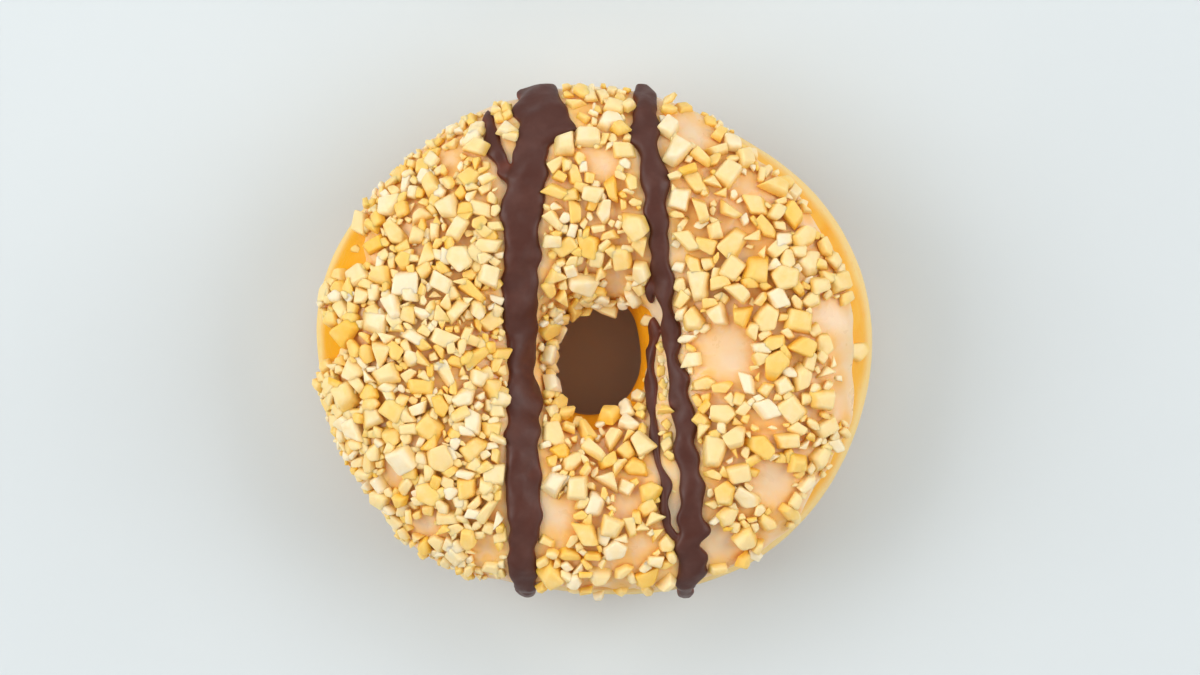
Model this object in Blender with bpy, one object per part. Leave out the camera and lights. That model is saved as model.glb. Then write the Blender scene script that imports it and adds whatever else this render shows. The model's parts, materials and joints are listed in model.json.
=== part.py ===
"""Iced ring doughnut with chopped almonds and two lines of dark chocolate.

The doughnut lies on its flat underside. Sizes are in millimetres and become
metres where a mesh gets its points. Seen from above, +X is to the right and
+Y to the back, and +Z is up. Angles round the ring start at +X, and angles
round its section go from 0 at the outer rim over 90 on top to 180 in the hole.
"""

from typing import NamedTuple

import bmesh
import bpy
import numpy as np
from mathutils import Matrix, Vector
from mathutils.bvhtree import BVHTree

MM = 0.001

# Dough ring, with each lump as its angle, its spread and its height
RING_HALF_X = 46.4
RING_HALF_Y = 41.8
RING_LUMPS = ((305, 30, 2.3), (234, 18, 1.3), (170, 12, 0.5), (136, 14, -1.1), (55, 20, -1.2))
HOLE_CENTRE = (-0.9, -2.9)
HOLE_HALF_X = 8.3
HOLE_HALF_Y = 9.2
HOLE_LUMPS = ((55, 25, 1.4), (150, 22, -0.6))
WAIST_HEIGHT = 15.0
CROWN_RISE = 15.0
CROWN_LUMPS = ((190, 50, 0.9), (300, 40, -0.7), (70, 35, 0.5))
BELLY_DROP = 15.6
SECTION_POWER = 2.3
RING_STEPS = 54
SECTION_STEPS = 22

# Icing, with each edge as rows of the angle round the ring and the section angle
ICING_THICKNESS = 1.15
ICING_UNDERCUT = 1.2
ICING_STEPS = 22
OUTER_EDGE = (
    (0, 39), (33, 40), (46, 37), (62, 18), (80, 8), (130, 12), (146, 20), (151, 26), (156, 44), (160, 49),
    (163, 44), (167, 30), (173, 28), (177, 48), (180, 54), (183, 44), (188, 16), (215, 3), (233, 8),
    (246, 22), (262, 30.5), (292, 32), (312, 28), (330, 34),
)
INNER_EDGE = (
    (0, 153), (18, 145), (38, 142), (58, 155), (75, 162), (110, 166), (180, 168),
    (225, 162), (250, 144), (275, 142), (305, 146), (335, 153),
)
EDGE_RIPPLES = ((7, 1.6, 0.4), (13, 1.1, 2.1), (23, 0.7, 4.0))
CLEARANCE = 0.3

# Chopped almonds, the largest fused to the icing and a few to bare dough
SEED = 41
SHAPE_COUNT = 12
CHIP_SIDES = (4, 5, 4, 4, 3, 4, 5, 4)
LARGEST_PIECE = 5.6
SMALLEST_PIECE = 1.5
PIECE_COUNT = 760
FUSED_COUNT = 270
SIZE_FALL = 1.15
PIECE_SINK = 0.4
STANDING_LIMIT = 3.2
RIM_MARGIN = 11.0
RIM_MARGIN_PER_SIZE = 7.0
EDGE_MARGIN = 2.0
EDGE_MARGIN_PER_SIZE = 1.3
FUSED_SPACING = 0.76
CHOCOLATE_MARGIN = 0.32
CROWDING = ((-20.0, 4.0, 30.0), (0.52, 0.62, 0.66))
BARE_SPOTS = (
    (21.5, -2.0, 4.4), (39.0, 3.3, 2.6), (41.0, -9.5, 3.0), (29.0, -23.5, 3.2), (30.5, -34.0, 3.4),
    (19.6, -33.0, 2.4), (15.8, 34.5, 2.6), (25.0, 25.0, 1.8), (-6.2, -28.5, 3.0), (5.3, -26.5, 1.8),
    (7.0, -33.6, 2.2), (3.6, 9.6, 1.6), (1.5, 28.5, 2.2), (11.0, 19.0, 1.6), (-23.5, 29.5, 1.5),
    (-32.5, -21.7, 1.3), (-27.5, -30.0, 1.6), (-17.5, -34.0, 1.5),
)
EDGE_PIECES = (
    (94, 24, 3.4, 20), (86, 27, 3.0, 70), (69, 28, 3.5, 40), (62, 30, 3.0, 10),
    (226, 18, 2.8, 0), (236, 22, 2.6, 50), (241, 20, 2.6, 130), (265, 34, 2.8, 20), (271, 28, 3.0, 95),
    (276, 35, 3.0, 60), (282, 34, 3.4, 110),
    (153, 36, 5.2, 25), (165.5, 42, 4.2, 100), (169, 35, 4.6, 12), (172, 50, 5.0, 60), (185, 36, 3.8, 115),
)
DOUGH_PIECES = ((43.6, -1.8, 4.6, 84), (8.4, 3.4, 3.0, 70), (-39.6, 15.3, 2.0, 95))
DOUGH_PIECE_TURN_UP = 1.5
DOUGH_PIECE_GROWTH = 1.45

# Chocolate lines, as rows of y and the left and right edges
CHOCOLATE_RISE = 1.5
BRANCH_RISE = 1.15
CHOCOLATE_SINK = 1.2
LINE_END = 3.0
COAT_LIFT = 1.0
BARE_COAT_LIFT = 0.2
BACK_TURN = 24.0
FRONT_TURN = -27.0
BEND_RADIUS = 17.0
RAY_START = 60.0
LEFT_LINE = (
    (41.5, -12.7, -6.6), (38.2, -13.1, -4.7), (34.2, -12.5, -3.1), (31.6, -12.7, -7.6),
    (28.0, -14.6, -7.7), (23.0, -15.2, -8.3), (10.0, -15.1, -9.2), (2.5, -15.1, -9.6),
    (-2.0, -14.4, -10.2), (-13.5, -14.8, -9.2), (-25.0, -14.9, -8.7), (-34.0, -14.1, -9.4),
    (-38.5, -13.7, -9.3), (-41.0, -12.8, -9.8), (-43.0, -12.2, -10.2),
)
RIGHT_LINE = (
    (41.0, 6.6, 9.7), (38.0, 6.5, 10.3), (34.8, 5.3, 10.4), (29.8, 6.9, 10.9), (23.2, 7.4, 12.1),
    (17.5, 8.9, 11.5), (13.0, 8.7, 12.8), (9.5, 10.0, 12.8), (5.0, 10.9, 13.2), (-0.8, 11.5, 14.6),
    (-2.5, 12.1, 14.0), (-5.0, 12.2, 14.9), (-13.3, 13.0, 16.6), (-16.6, 12.9, 16.1), (-23.3, 13.8, 18.0),
    (-31.6, 13.4, 18.4), (-37.5, 13.2, 18.5), (-40.0, 13.6, 16.4), (-43.0, 14.2, 16.0),
)
SPUR_LINE = ((39.4, -18.0, -17.5), (36.5, -18.2, -16.6), (30.8, -17.6, -14.8), (26.0, -15.8, -11.5))
UPPER_BRANCH = ((15.0, 9.5, 11.6), (12.0, 9.1, 11.1), (8.6, 8.5, 10.3), (6.1, 8.6, 10.2))
LOWER_BRANCH = (
    (3.9, 8.7, 10.1), (0.0, 9.0, 10.4), (-4.5, 9.0, 10.2), (-11.0, 8.7, 10.2), (-17.0, 9.3, 10.8),
    (-25.0, 10.6, 12.0), (-30.0, 11.0, 12.5), (-33.0, 12.2, 14.6),
)


class Line(NamedTuple):
    """A chocolate line: its rows, where it starts and stops, its height and its mesh steps."""

    name: str
    rows: tuple
    back: float
    front: float
    rise: float
    stations: int
    sides: int


class Site(NamedTuple):
    """Where a piece of almond lies, its size, its six random draws and how far others lift it."""

    point: np.ndarray
    normal: np.ndarray
    size: float
    draws: np.ndarray
    raised: float


LINES = (
    Line("left_line", LEFT_LINE, 49.0, -57.0, CHOCOLATE_RISE, 33, 8),
    Line("right_line", RIGHT_LINE, 48.0, -58.0, CHOCOLATE_RISE, 34, 8),
    Line("spur_line", SPUR_LINE, 42.0, 25.0, BRANCH_RISE, 8, 6),
    Line("upper_branch", UPPER_BRANCH, 15.0, 6.1, BRANCH_RISE, 6, 6),
    Line("lower_branch", LOWER_BRANCH, 3.9, -33.5, BRANCH_RISE, 16, 6),
)


def lumps(degrees, rows):
    """Sum of smooth bulges at each angle."""
    total = np.zeros_like(degrees)
    for centre, spread, height in rows:
        away = (degrees - centre + 180.0) % 360.0 - 180.0
        total += height * np.exp(-((away / spread) ** 2))
    return total


def eased(degrees, rows):
    """Value at each angle, eased from row to row all the way round."""
    angles = np.array([row[0] for row in rows] + [rows[0][0] + 360.0])
    values = np.array([row[1] for row in rows] + [rows[0][1]], float)
    wrapped = (degrees - angles[0]) % 360.0 + angles[0]
    index = np.clip(np.searchsorted(angles, wrapped, side="right") - 1, 0, len(rows) - 1)
    share = (wrapped - angles[index]) / (angles[index + 1] - angles[index])
    share = share * share * (3.0 - 2.0 * share)
    return values[index] + (values[index + 1] - values[index]) * share


def oval(theta, half_x, half_y):
    """Radius of an ellipse at each angle in radians."""
    return 1.0 / np.hypot(np.cos(theta) / half_x, np.sin(theta) / half_y)


def signed_power(values, power):
    """Each value's size to a power, with its sign kept."""
    return np.sign(values) * np.abs(values) ** power


def ring_surface(around, section, lift=0.0):
    """Points and outward normals of the dough at two angles in degrees, raised by lift."""
    theta = np.radians(around)
    direction = np.stack([np.cos(theta), np.sin(theta)], -1)
    outer = oval(theta, RING_HALF_X, RING_HALF_Y) + lumps(around, RING_LUMPS)
    inner = oval(theta, HOLE_HALF_X, HOLE_HALF_Y) + lumps(around, HOLE_LUMPS)
    rim = direction * outer[..., None]
    throat = direction * inner[..., None] + np.array(HOLE_CENTRE)
    middle = (rim + throat) / 2.0
    half = (rim - throat) / 2.0
    width = np.linalg.norm(half, axis=-1)
    phi = np.radians(section)
    across = signed_power(np.cos(phi), 2.0 / SECTION_POWER)
    upward = signed_power(np.sin(phi), 2.0 / SECTION_POWER)
    rise = np.where(upward > 0.0, CROWN_RISE + lumps(around, CROWN_LUMPS), BELLY_DROP)
    outward = signed_power(across, SECTION_POWER - 1.0) / width
    vertical = signed_power(upward, SECTION_POWER - 1.0) / rise
    normal = np.concatenate([half / width[..., None] * outward[..., None], vertical[..., None]], -1)
    normal /= np.linalg.norm(normal, axis=-1, keepdims=True)
    height = WAIST_HEIGHT + rise * upward
    points = np.concatenate([middle + half * across[..., None], height[..., None]], -1)
    points += normal * np.asarray(lift)[..., None]
    points[..., 2] = np.maximum(points[..., 2], -np.asarray(lift))
    return points, normal


def icing_edges(around):
    """Section angles of the icing's outer and inner edges."""
    theta = np.radians(around)
    ripple = sum(size * np.sin(count * theta + phase) for count, size, phase in EDGE_RIPPLES)
    return eased(around, OUTER_EDGE) + ripple, eased(around, INNER_EDGE) - 0.6 * ripple


def torus_object(name, steps, section_steps, shape):
    """A torus primitive whose vertices are moved to shape(around, section)."""
    bpy.ops.mesh.primitive_torus_add(
        major_segments=steps, minor_segments=section_steps, major_radius=2.0, minor_radius=1.0
    )
    obj = bpy.context.object
    obj.name = name
    x, y, z = np.array([vertex.co for vertex in obj.data.vertices]).T
    around = np.degrees(np.arctan2(y, x)) % 360.0
    section = np.degrees(np.arctan2(z, np.hypot(x, y) - 2.0)) % 360.0
    obj.data.vertices.foreach_set("co", (shape(around, section) * MM).ravel())
    obj.data.update()
    return obj


def dough_shape(around, section):
    """The bare dough."""
    return ring_surface(around, section)[0]


def clearance_shape(around, section):
    """The dough grown by the gap that the icing keeps to it."""
    return ring_surface(around, section, np.full_like(around, CLEARANCE))[0]


def icing_shape(around, loop):
    """The icing as a flat loop: its top for loop angles up to 180, then back inside the dough.

    It is turned by half a step, so that its edges don't lie on the dough's.
    """
    around = around + 180.0 / RING_STEPS
    top = loop <= 180.0
    step = np.where(top, 1.0 - loop / 90.0, loop / 90.0 - 3.0)
    across = step * (1.5 - 0.5 * step * step)
    outer, inner = icing_edges(around)
    section = (outer + inner) / 2.0 - across * (inner - outer) / 2.0
    crest = ICING_THICKNESS * np.maximum(1.0 - np.abs(across) ** 14, 0.0) ** 0.4
    lift = np.where(top, crest, -ICING_UNDERCUT)
    lift[np.abs(step) > 0.999] = 0.0
    return ring_surface(around, section, lift)[0]


def line_edges(rows, y):
    """Left and right edges of a chocolate line at each y."""
    table = np.array(rows)[::-1]
    return np.interp(y, table[:, 0], table[:, 1]), np.interp(y, table[:, 0], table[:, 2])


def under_chocolate(point, size):
    """Whether a piece of almond would reach into a chocolate line."""
    for line in LINES:
        if line.rows[-1][0] <= point[1] <= line.rows[0][0]:
            left, right = line_edges(line.rows, point[1])
            if left - CHOCOLATE_MARGIN * size < point[0] < right + CHOCOLATE_MARGIN * size:
                return True
    return False


def in_a_spot(point, size, rows, share):
    """Whether a point lies in one of the round spots, grown by a share of the piece's size."""
    return any(np.hypot(point[0] - row[0], point[1] - row[1]) < row[2] + share * size for row in rows)


def edge_sites():
    """The pieces that stand out at the icing's rim."""
    sites = []
    for around, section, size, turn in EDGE_PIECES:
        point, normal = ring_surface(np.array(float(around)), np.array(float(section)), ICING_THICKNESS)
        draws = np.array([0.6, 0.4, turn / 360.0, 0.5, 0.0, turn / 140.0])
        sites.append(Site(point, normal, size, draws, 0.0))
    return sites


def almond_sites():
    """Where each piece on the icing lies: those at the rim, then the others, the largest first.

    A piece gets 40 tries at a cell of the icing drawn by its area, and is left out
    where each of them is too near another piece, on a bare spot or under chocolate.
    """
    random = np.random.default_rng(SEED)
    around, section = np.meshgrid(np.arange(0.0, 360.0, 1.0), np.arange(0.0, 180.0, 1.5), indexing="ij")
    points, normals = ring_surface(around, section, np.full_like(around, ICING_THICKNESS))
    outer, inner = icing_edges(around)
    iced = (section > outer + 3.0) & (section < inner - 2.0)
    step_round = np.linalg.norm(np.roll(points, -1, 0) - points, axis=-1)
    step_over = np.linalg.norm(np.gradient(points, axis=1), axis=-1)
    area = np.where(iced, step_round * step_over, 0.0).ravel()
    chances = np.cumsum(area) / area.sum()
    points, normals = points.reshape(-1, 3), normals.reshape(-1, 3)
    section, outer = section.ravel(), outer.ravel()
    sites = edge_sites()
    placed = np.array([[*site.point, site.size] for site in sites])
    for index in range(PIECE_COUNT):
        share = (index / (PIECE_COUNT - 1)) ** SIZE_FALL
        size = LARGEST_PIECE * (SMALLEST_PIECE / LARGEST_PIECE) ** share
        draws = random.random(6)
        for cell in np.searchsorted(chances, random.random(40)):
            point = points[cell]
            away = np.linalg.norm(placed[:, :3] - point, axis=1)
            reach = (placed[:, 3] + size) / 2.0
            spacing = FUSED_SPACING if len(sites) < FUSED_COUNT else np.interp(point[0], *CROWDING)
            if (
                section[cell] < RIM_MARGIN + RIM_MARGIN_PER_SIZE * size
                or section[cell] < outer[cell] + EDGE_MARGIN + EDGE_MARGIN_PER_SIZE * size
                or (away < spacing * reach).any()
                or in_a_spot(point, size, BARE_SPOTS, 0.3)
                or in_a_spot(point, size, DOUGH_PIECES, 0.3)
                or under_chocolate(point, size)
            ):
                continue
            raised = min(0.3 * (away < reach).sum(), 0.9)
            sites.append(Site(point, normals[cell], size, draws, raised))
            placed = np.vstack([placed, [*point, size]])
            break
    return sites


def chip_planes(index):
    """Cut planes of a chip: its sides, most of them leaning in, its slanting top and its base."""
    random = np.random.default_rng(SEED + 1 + index)
    count = CHIP_SIDES[index % len(CHIP_SIDES)]
    planes = []
    for side in range(count):
        turn = 2.0 * np.pi * (side + random.uniform(-0.2, 0.2)) / count
        lean = random.uniform(-0.05, 0.4)
        normal = Vector((np.cos(lean) * np.cos(turn), np.cos(lean) * np.sin(turn), np.sin(lean)))
        planes.append((normal, random.uniform(0.36, 0.5)))
    planes.append((Vector((*random.uniform(-0.3, 0.3, 2), 1.0)), 0.4))
    planes.append((Vector((*random.uniform(-0.15, 0.15, 2), -1.0)), 0.4))
    return planes


def chip_mesh(index):
    """One angular chip of chopped nut with flat cut faces, 1 unit each way."""
    bm = bmesh.new()
    bmesh.ops.create_cube(bm, size=4.0)
    for normal, away in chip_planes(index):
        everything = bm.verts[:] + bm.edges[:] + bm.faces[:]
        bmesh.ops.bisect_plane(bm, geom=everything, plane_co=normal * away, plane_no=normal, clear_outer=True)
        bmesh.ops.holes_fill(bm, edges=bm.edges)
    corners = np.array([vertex.co for vertex in bm.verts])
    low, high = corners.min(0), corners.max(0)
    for vertex, corner in zip(bm.verts, (corners - (low + high) / 2.0) / (high - low)):
        vertex.co = corner
    bmesh.ops.recalc_face_normals(bm, faces=bm.faces)
    mesh = bpy.data.meshes.new(f"chip_{index}")
    bm.to_mesh(mesh)
    bm.free()
    return mesh


def chip_matrix(site):
    """Where a chip lies: turned about the normal, tipped a little and pressed into the icing."""
    width = site.size * (0.48 + 0.46 * site.draws[0])
    thickness = max(site.size * (0.34 + 0.28 * site.draws[1]), 0.9)
    standing = site.draws[4] > 0.9 and site.size < STANDING_LIMIT
    tip = np.radians(40.0 + 45.0 * site.draws[3] if standing else 24.0 * (site.draws[3] - 0.5))
    upright = Vector(site.normal)
    frame = upright.to_track_quat("Z", "Y").to_matrix()
    turn = Matrix.Rotation(2.0 * np.pi * site.draws[2], 3, "Z") @ Matrix.Rotation(tip, 3, "X")
    height = abs(np.cos(tip)) * thickness + abs(np.sin(tip)) * width
    matrix = (frame @ turn @ Matrix.Diagonal((site.size, width, thickness))).to_4x4()
    matrix.translation = Vector(site.point) + upright * (0.5 * height - PIECE_SINK + site.raised)
    return Matrix.Scale(MM, 4) @ matrix


def coat_tree():
    """The surface that the chocolate runs over, for casting rays at."""
    around, section = np.meshgrid(np.arange(0.0, 360.0, 3.0), np.arange(0.0, 360.0, 6.0), indexing="ij")
    outer, inner = icing_edges(around)
    iced = (section > outer) & (section < inner)
    points = ring_surface(around, section, np.where(iced, COAT_LIFT, BARE_COAT_LIFT))[0]
    rows, columns = around.shape
    faces = []
    for row in range(rows):
        for column in range(columns):
            next_row = (row + 1) % rows
            next_column = (column + 1) % columns
            corners = ((row, column), (next_row, column), (next_row, next_column), (row, next_column))
            faces.append([r * columns + c for r, c in corners])
    return BVHTree.FromPolygons(points.reshape(-1, 3).tolist(), faces)


def chocolate_point(tree, rows, travel, across, lifted):
    """A point of a chocolate line: across from -1 to 1, lifted off the coat.

    Travel is y, unrolled past the two turns, where the line runs down the rim.
    """
    turn = min(max(travel, FRONT_TURN), BACK_TURN)
    lean = (travel - turn) / BEND_RADIUS
    outward = Vector((0.0, np.sin(lean), np.cos(lean)))
    y = travel
    for _ in range(3):
        left, right = line_edges(rows, y)
        x = (left + right) / 2.0 + across * (right - left) / 2.0
        hit, normal, _, _ = tree.ray_cast(Vector((x, turn, WAIST_HEIGHT)) + outward * RAY_START, -outward)
        y = hit.y
    return hit + normal * lifted


def chocolate_object(tree, line):
    """A chocolate line as a stretched sphere, its poles at the two rounded ends."""
    bm = bmesh.new()
    bmesh.ops.create_uvsphere(bm, u_segments=line.sides, v_segments=line.stations, radius=1.0)
    length = line.back - line.front
    for vertex in bm.verts:
        pole_angle = np.arccos(np.clip(-vertex.co.z, -1.0, 1.0))
        share = 0.5 * pole_angle / np.pi + 0.25 * (1.0 - np.cos(pole_angle))
        angle = np.arctan2(vertex.co.y, vertex.co.x)
        end = min(1.0, min(share, 1.0 - share) * length / LINE_END) ** 0.5
        upper = np.sin(angle)
        lifted = line.rise * end * np.sqrt(upper) if upper > 0.0 else CHOCOLATE_SINK * upper
        travel = line.back - length * share
        vertex.co = chocolate_point(tree, line.rows, travel, end * np.cos(angle), lifted) * MM
    if bm.calc_volume(signed=True) < 0.0:
        bmesh.ops.reverse_faces(bm, faces=bm.faces)
    mesh = bpy.data.meshes.new(line.name)
    bm.to_mesh(mesh)
    bm.free()
    return bpy.data.objects.new(line.name, mesh)


def finish(name, colour, roughness):
    """A plain food surface."""
    material = bpy.data.materials.new(name)
    material.use_nodes = True
    shader = material.node_tree.nodes["Principled BSDF"]
    shader.inputs["Base Color"].default_value = (*colour, 1.0)
    shader.inputs["Roughness"].default_value = roughness
    shader.inputs["Metallic"].default_value = 0.0
    return material


def apply_boolean(obj, operation, operand):
    """Applies one Boolean with an object or a collection, then removes what it used."""
    modifier = obj.modifiers.new(operation, "BOOLEAN")
    modifier.operation = operation
    modifier.solver = "MANIFOLD"
    modifier.material_mode = "TRANSFER"
    if isinstance(operand, bpy.types.Collection):
        modifier.operand_type = "COLLECTION"
        modifier.collection = operand
        used = list(operand.objects)
    else:
        modifier.object = operand
        used = [operand]
    bpy.context.view_layer.objects.active = obj
    bpy.ops.object.modifier_apply(modifier=modifier.name)
    for item in used:
        bpy.data.objects.remove(item)


def keep_outer_shell(obj):
    """Drops loose scraps and the walls of sealed hollows, leaving the one outer body."""
    bm = bmesh.new()
    bm.from_mesh(obj.data)
    unseen = set(bm.faces)
    islands = []
    while unseen:
        island, front = [], [unseen.pop()]
        while front:
            face = front.pop()
            island.append(face)
            linked = {other for edge in face.edges for other in edge.link_faces} & unseen
            unseen -= linked
            front.extend(linked)
        islands.append(island)
    islands.sort(key=len)
    spare = [face for island in islands[:-1] for face in island]
    bmesh.ops.delete(bm, geom=spare, context="FACES")
    bm.to_mesh(obj.data)
    bm.free()


def collection_named(name, parent):
    """A new collection inside another one."""
    made = bpy.data.collections.new(name)
    parent.children.link(made)
    return made


def put_in(collection, obj, material):
    """Moves an object to a collection and gives it its material."""
    for old in list(obj.users_collection):
        old.objects.unlink(obj)
    collection.objects.link(obj)
    if not obj.data.materials:
        obj.data.materials.append(material)


def chip_objects(sites, meshes, collection, material, growth=1.0):
    """A chip at each site, sharing the few chip meshes."""
    for index, site in enumerate(sites):
        chip = bpy.data.objects.new(f"chip_{index:03d}", meshes[int(site.draws[5] * SHAPE_COUNT)])
        put_in(collection, chip, material)
        chip.matrix_world = chip_matrix(site) @ Matrix.Scale(growth, 4)


def dough_sites(tree):
    """The few pieces that lie on bare dough, past the icing's edges."""
    sites = []
    for x, y, size, turn in DOUGH_PIECES:
        hit, normal, _, _ = tree.ray_cast(Vector((x, y, RAY_START)), Vector((0.0, 0.0, -1.0)))
        draws = np.array([0.7, 0.2, turn / 360.0, 0.5, 0.0, 0.1])
        upright = (normal + Vector((0.0, 0.0, DOUGH_PIECE_TURN_UP))).normalized()
        sites.append(Site(np.array(hit - normal * BARE_COAT_LIFT), np.array(upright), size, draws, 0.0))
    return sites


def main():
    """Builds the dough ring and the icing with what is stuck to it."""
    for obj in list(bpy.data.objects):
        bpy.data.objects.remove(obj)
    doughnut = collection_named("almond_doughnut", bpy.context.scene.collection)
    cutters = collection_named("cutters", bpy.context.scene.collection)
    toppings = collection_named("toppings", cutters)
    crust = finish("golden_dough", (0.85, 0.42, 0.08), 0.55)
    glaze = finish("pale_icing", (0.86, 0.62, 0.42), 0.35)
    nut = finish("chopped_almond", (0.93, 0.73, 0.36), 0.5)
    chocolate = finish("dark_chocolate", (0.075, 0.025, 0.018), 0.3)
    chips = [chip_mesh(index) for index in range(SHAPE_COUNT)]
    tree = coat_tree()

    dough = torus_object("dough_ring", RING_STEPS, SECTION_STEPS, dough_shape)
    put_in(doughnut, dough, crust)
    chip_objects(dough_sites(tree), chips, toppings, nut)
    apply_boolean(dough, "UNION", toppings)
    keep_outer_shell(dough)

    icing = torus_object("almond_icing", RING_STEPS, ICING_STEPS, icing_shape)
    put_in(doughnut, icing, glaze)
    chip_objects(almond_sites()[:FUSED_COUNT], chips, toppings, nut)
    for line in LINES:
        put_in(toppings, chocolate_object(tree, line), chocolate)
    apply_boolean(icing, "UNION", toppings)

    cutter = torus_object("dough_clearance", RING_STEPS, SECTION_STEPS, clearance_shape)
    put_in(cutters, cutter, crust)
    cutter.hide_render = True
    cutter.display_type = "WIRE"
    chip_objects(dough_sites(tree), chips, toppings, nut, DOUGH_PIECE_GROWTH)
    apply_boolean(cutter, "UNION", toppings)
    apply_boolean(icing, "DIFFERENCE", cutter)
    keep_outer_shell(icing)


main()
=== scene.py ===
"""Looks of the almond chocolate doughnut: dough, icing, chopped almonds and chocolate.

Sizes are in millimetres and become metres where a mesh gets its points, and the
finishes are in metres. Seen from above, +X is to the right and +Y to the back.
Angles are in degrees: round the ring they start at +X, and round its section they
go from 0 at the outer rim over 90 on top to 180 in the hole.
"""

import json
import logging
import math
from dataclasses import dataclass
from enum import Enum
from typing import NamedTuple, Sequence

import bmesh
import bpy
import numpy as np
from mathutils import Matrix, Vector
from mathutils.bvhtree import BVHTree
from mathutils.kdtree import KDTree

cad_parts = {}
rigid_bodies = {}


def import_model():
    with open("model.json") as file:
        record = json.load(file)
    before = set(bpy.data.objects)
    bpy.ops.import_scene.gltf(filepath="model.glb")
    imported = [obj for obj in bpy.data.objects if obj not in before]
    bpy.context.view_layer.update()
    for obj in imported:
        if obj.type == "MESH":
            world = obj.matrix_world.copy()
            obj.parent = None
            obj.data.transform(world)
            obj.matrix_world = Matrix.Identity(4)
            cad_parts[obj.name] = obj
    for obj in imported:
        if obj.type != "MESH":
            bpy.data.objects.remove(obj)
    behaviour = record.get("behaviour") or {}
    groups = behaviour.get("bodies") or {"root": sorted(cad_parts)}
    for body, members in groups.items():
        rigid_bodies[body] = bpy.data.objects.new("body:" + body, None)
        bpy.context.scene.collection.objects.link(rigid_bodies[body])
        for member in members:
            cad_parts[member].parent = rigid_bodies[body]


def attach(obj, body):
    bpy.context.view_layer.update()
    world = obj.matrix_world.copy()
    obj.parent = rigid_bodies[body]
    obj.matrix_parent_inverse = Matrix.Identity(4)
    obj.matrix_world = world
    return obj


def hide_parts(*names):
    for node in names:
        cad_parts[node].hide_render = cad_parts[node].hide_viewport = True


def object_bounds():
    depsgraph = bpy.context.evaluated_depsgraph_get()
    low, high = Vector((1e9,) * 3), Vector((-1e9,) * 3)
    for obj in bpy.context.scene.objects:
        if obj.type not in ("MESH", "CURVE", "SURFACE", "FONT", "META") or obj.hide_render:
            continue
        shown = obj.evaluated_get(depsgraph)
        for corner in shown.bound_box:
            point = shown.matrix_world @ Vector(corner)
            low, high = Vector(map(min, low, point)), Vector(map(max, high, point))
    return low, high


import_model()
CAD_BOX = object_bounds()
MM = 0.001
BOX_INSET = 0.00001
RAY_START = 60.0
LOG = logging.getLogger("almond_doughnut")

Rows = Sequence[tuple[float, ...]]
Span = tuple[float, float]
Triple = tuple[float, float, float]
Colour = tuple[float, float, float, float]
Socket = bpy.types.NodeSocket
Value = Socket | float | tuple | Vector


class Node(Enum):
    """The solids that the finished pieces stand for."""

    DOUGH = "dough_ring"
    ICING = "almond_icing"


class Slot(Enum):
    """The finishes that the record names."""

    DOUGH = "dough"
    ICING = "icing"
    ALMOND = "almond"
    CHOCOLATE = "chocolate"


def linear(red: int, green: int, blue: int) -> Colour:
    """Turns a display colour into the renderer's light values.

    Args:
        red: Display level from 0 to 255.
        green: Display level from 0 to 255.
        blue: Display level from 0 to 255.

    Returns:
        Linear red, green and blue with an alpha of 1.
    """
    levels = [level / 255.0 for level in (red, green, blue)]
    lit = [v / 12.92 if v <= 0.04045 else ((v + 0.055) / 1.055) ** 2.4 for v in levels]
    return (lit[0], lit[1], lit[2], 1.0)


def signed_power(values: np.ndarray, power: float) -> np.ndarray:
    """Each value's size to a power, with its sign kept."""
    return np.sign(values) * np.abs(values) ** power


def smooth_step(values: np.ndarray, low: float, high: float) -> np.ndarray:
    """Eases values from 0 at low to 1 at high."""
    share = np.clip((values - low) / (high - low), 0.0, 1.0)
    return share * share * (3.0 - 2.0 * share)


class WaveField:
    """A smooth random field in space, made of plane waves with seeded directions."""

    LENGTH_SPREAD = (0.7, 1.5)

    def __init__(self, seed: int, length: float, waves: int = 28) -> None:
        """Draws the waves.

        Args:
            seed: Seed of the random draws.
            length: Mean wavelength in millimetres.
            waves: How many waves are added up.
        """
        random = np.random.default_rng(seed)
        directions = random.normal(size=(waves, 3))
        directions /= np.linalg.norm(directions, axis=1, keepdims=True)
        lengths = length * random.uniform(*self.LENGTH_SPREAD, (waves, 1))
        self.vectors = directions * (2.0 * np.pi / lengths)
        self.phases = random.uniform(0.0, 2.0 * np.pi, waves)
        self.scale = math.sqrt(2.0 / waves)

    def at(self, points: np.ndarray) -> np.ndarray:
        """Works out the field.

        Args:
            points: Places in millimetres, on the last axis.

        Returns:
            The value at each place, about -2 to 2 with a spread of 1.
        """
        total = np.zeros(points.shape[:-1])
        for vector, phase in zip(self.vectors, self.phases):
            total += np.sin(points @ vector + phase)
        return total * self.scale


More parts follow.
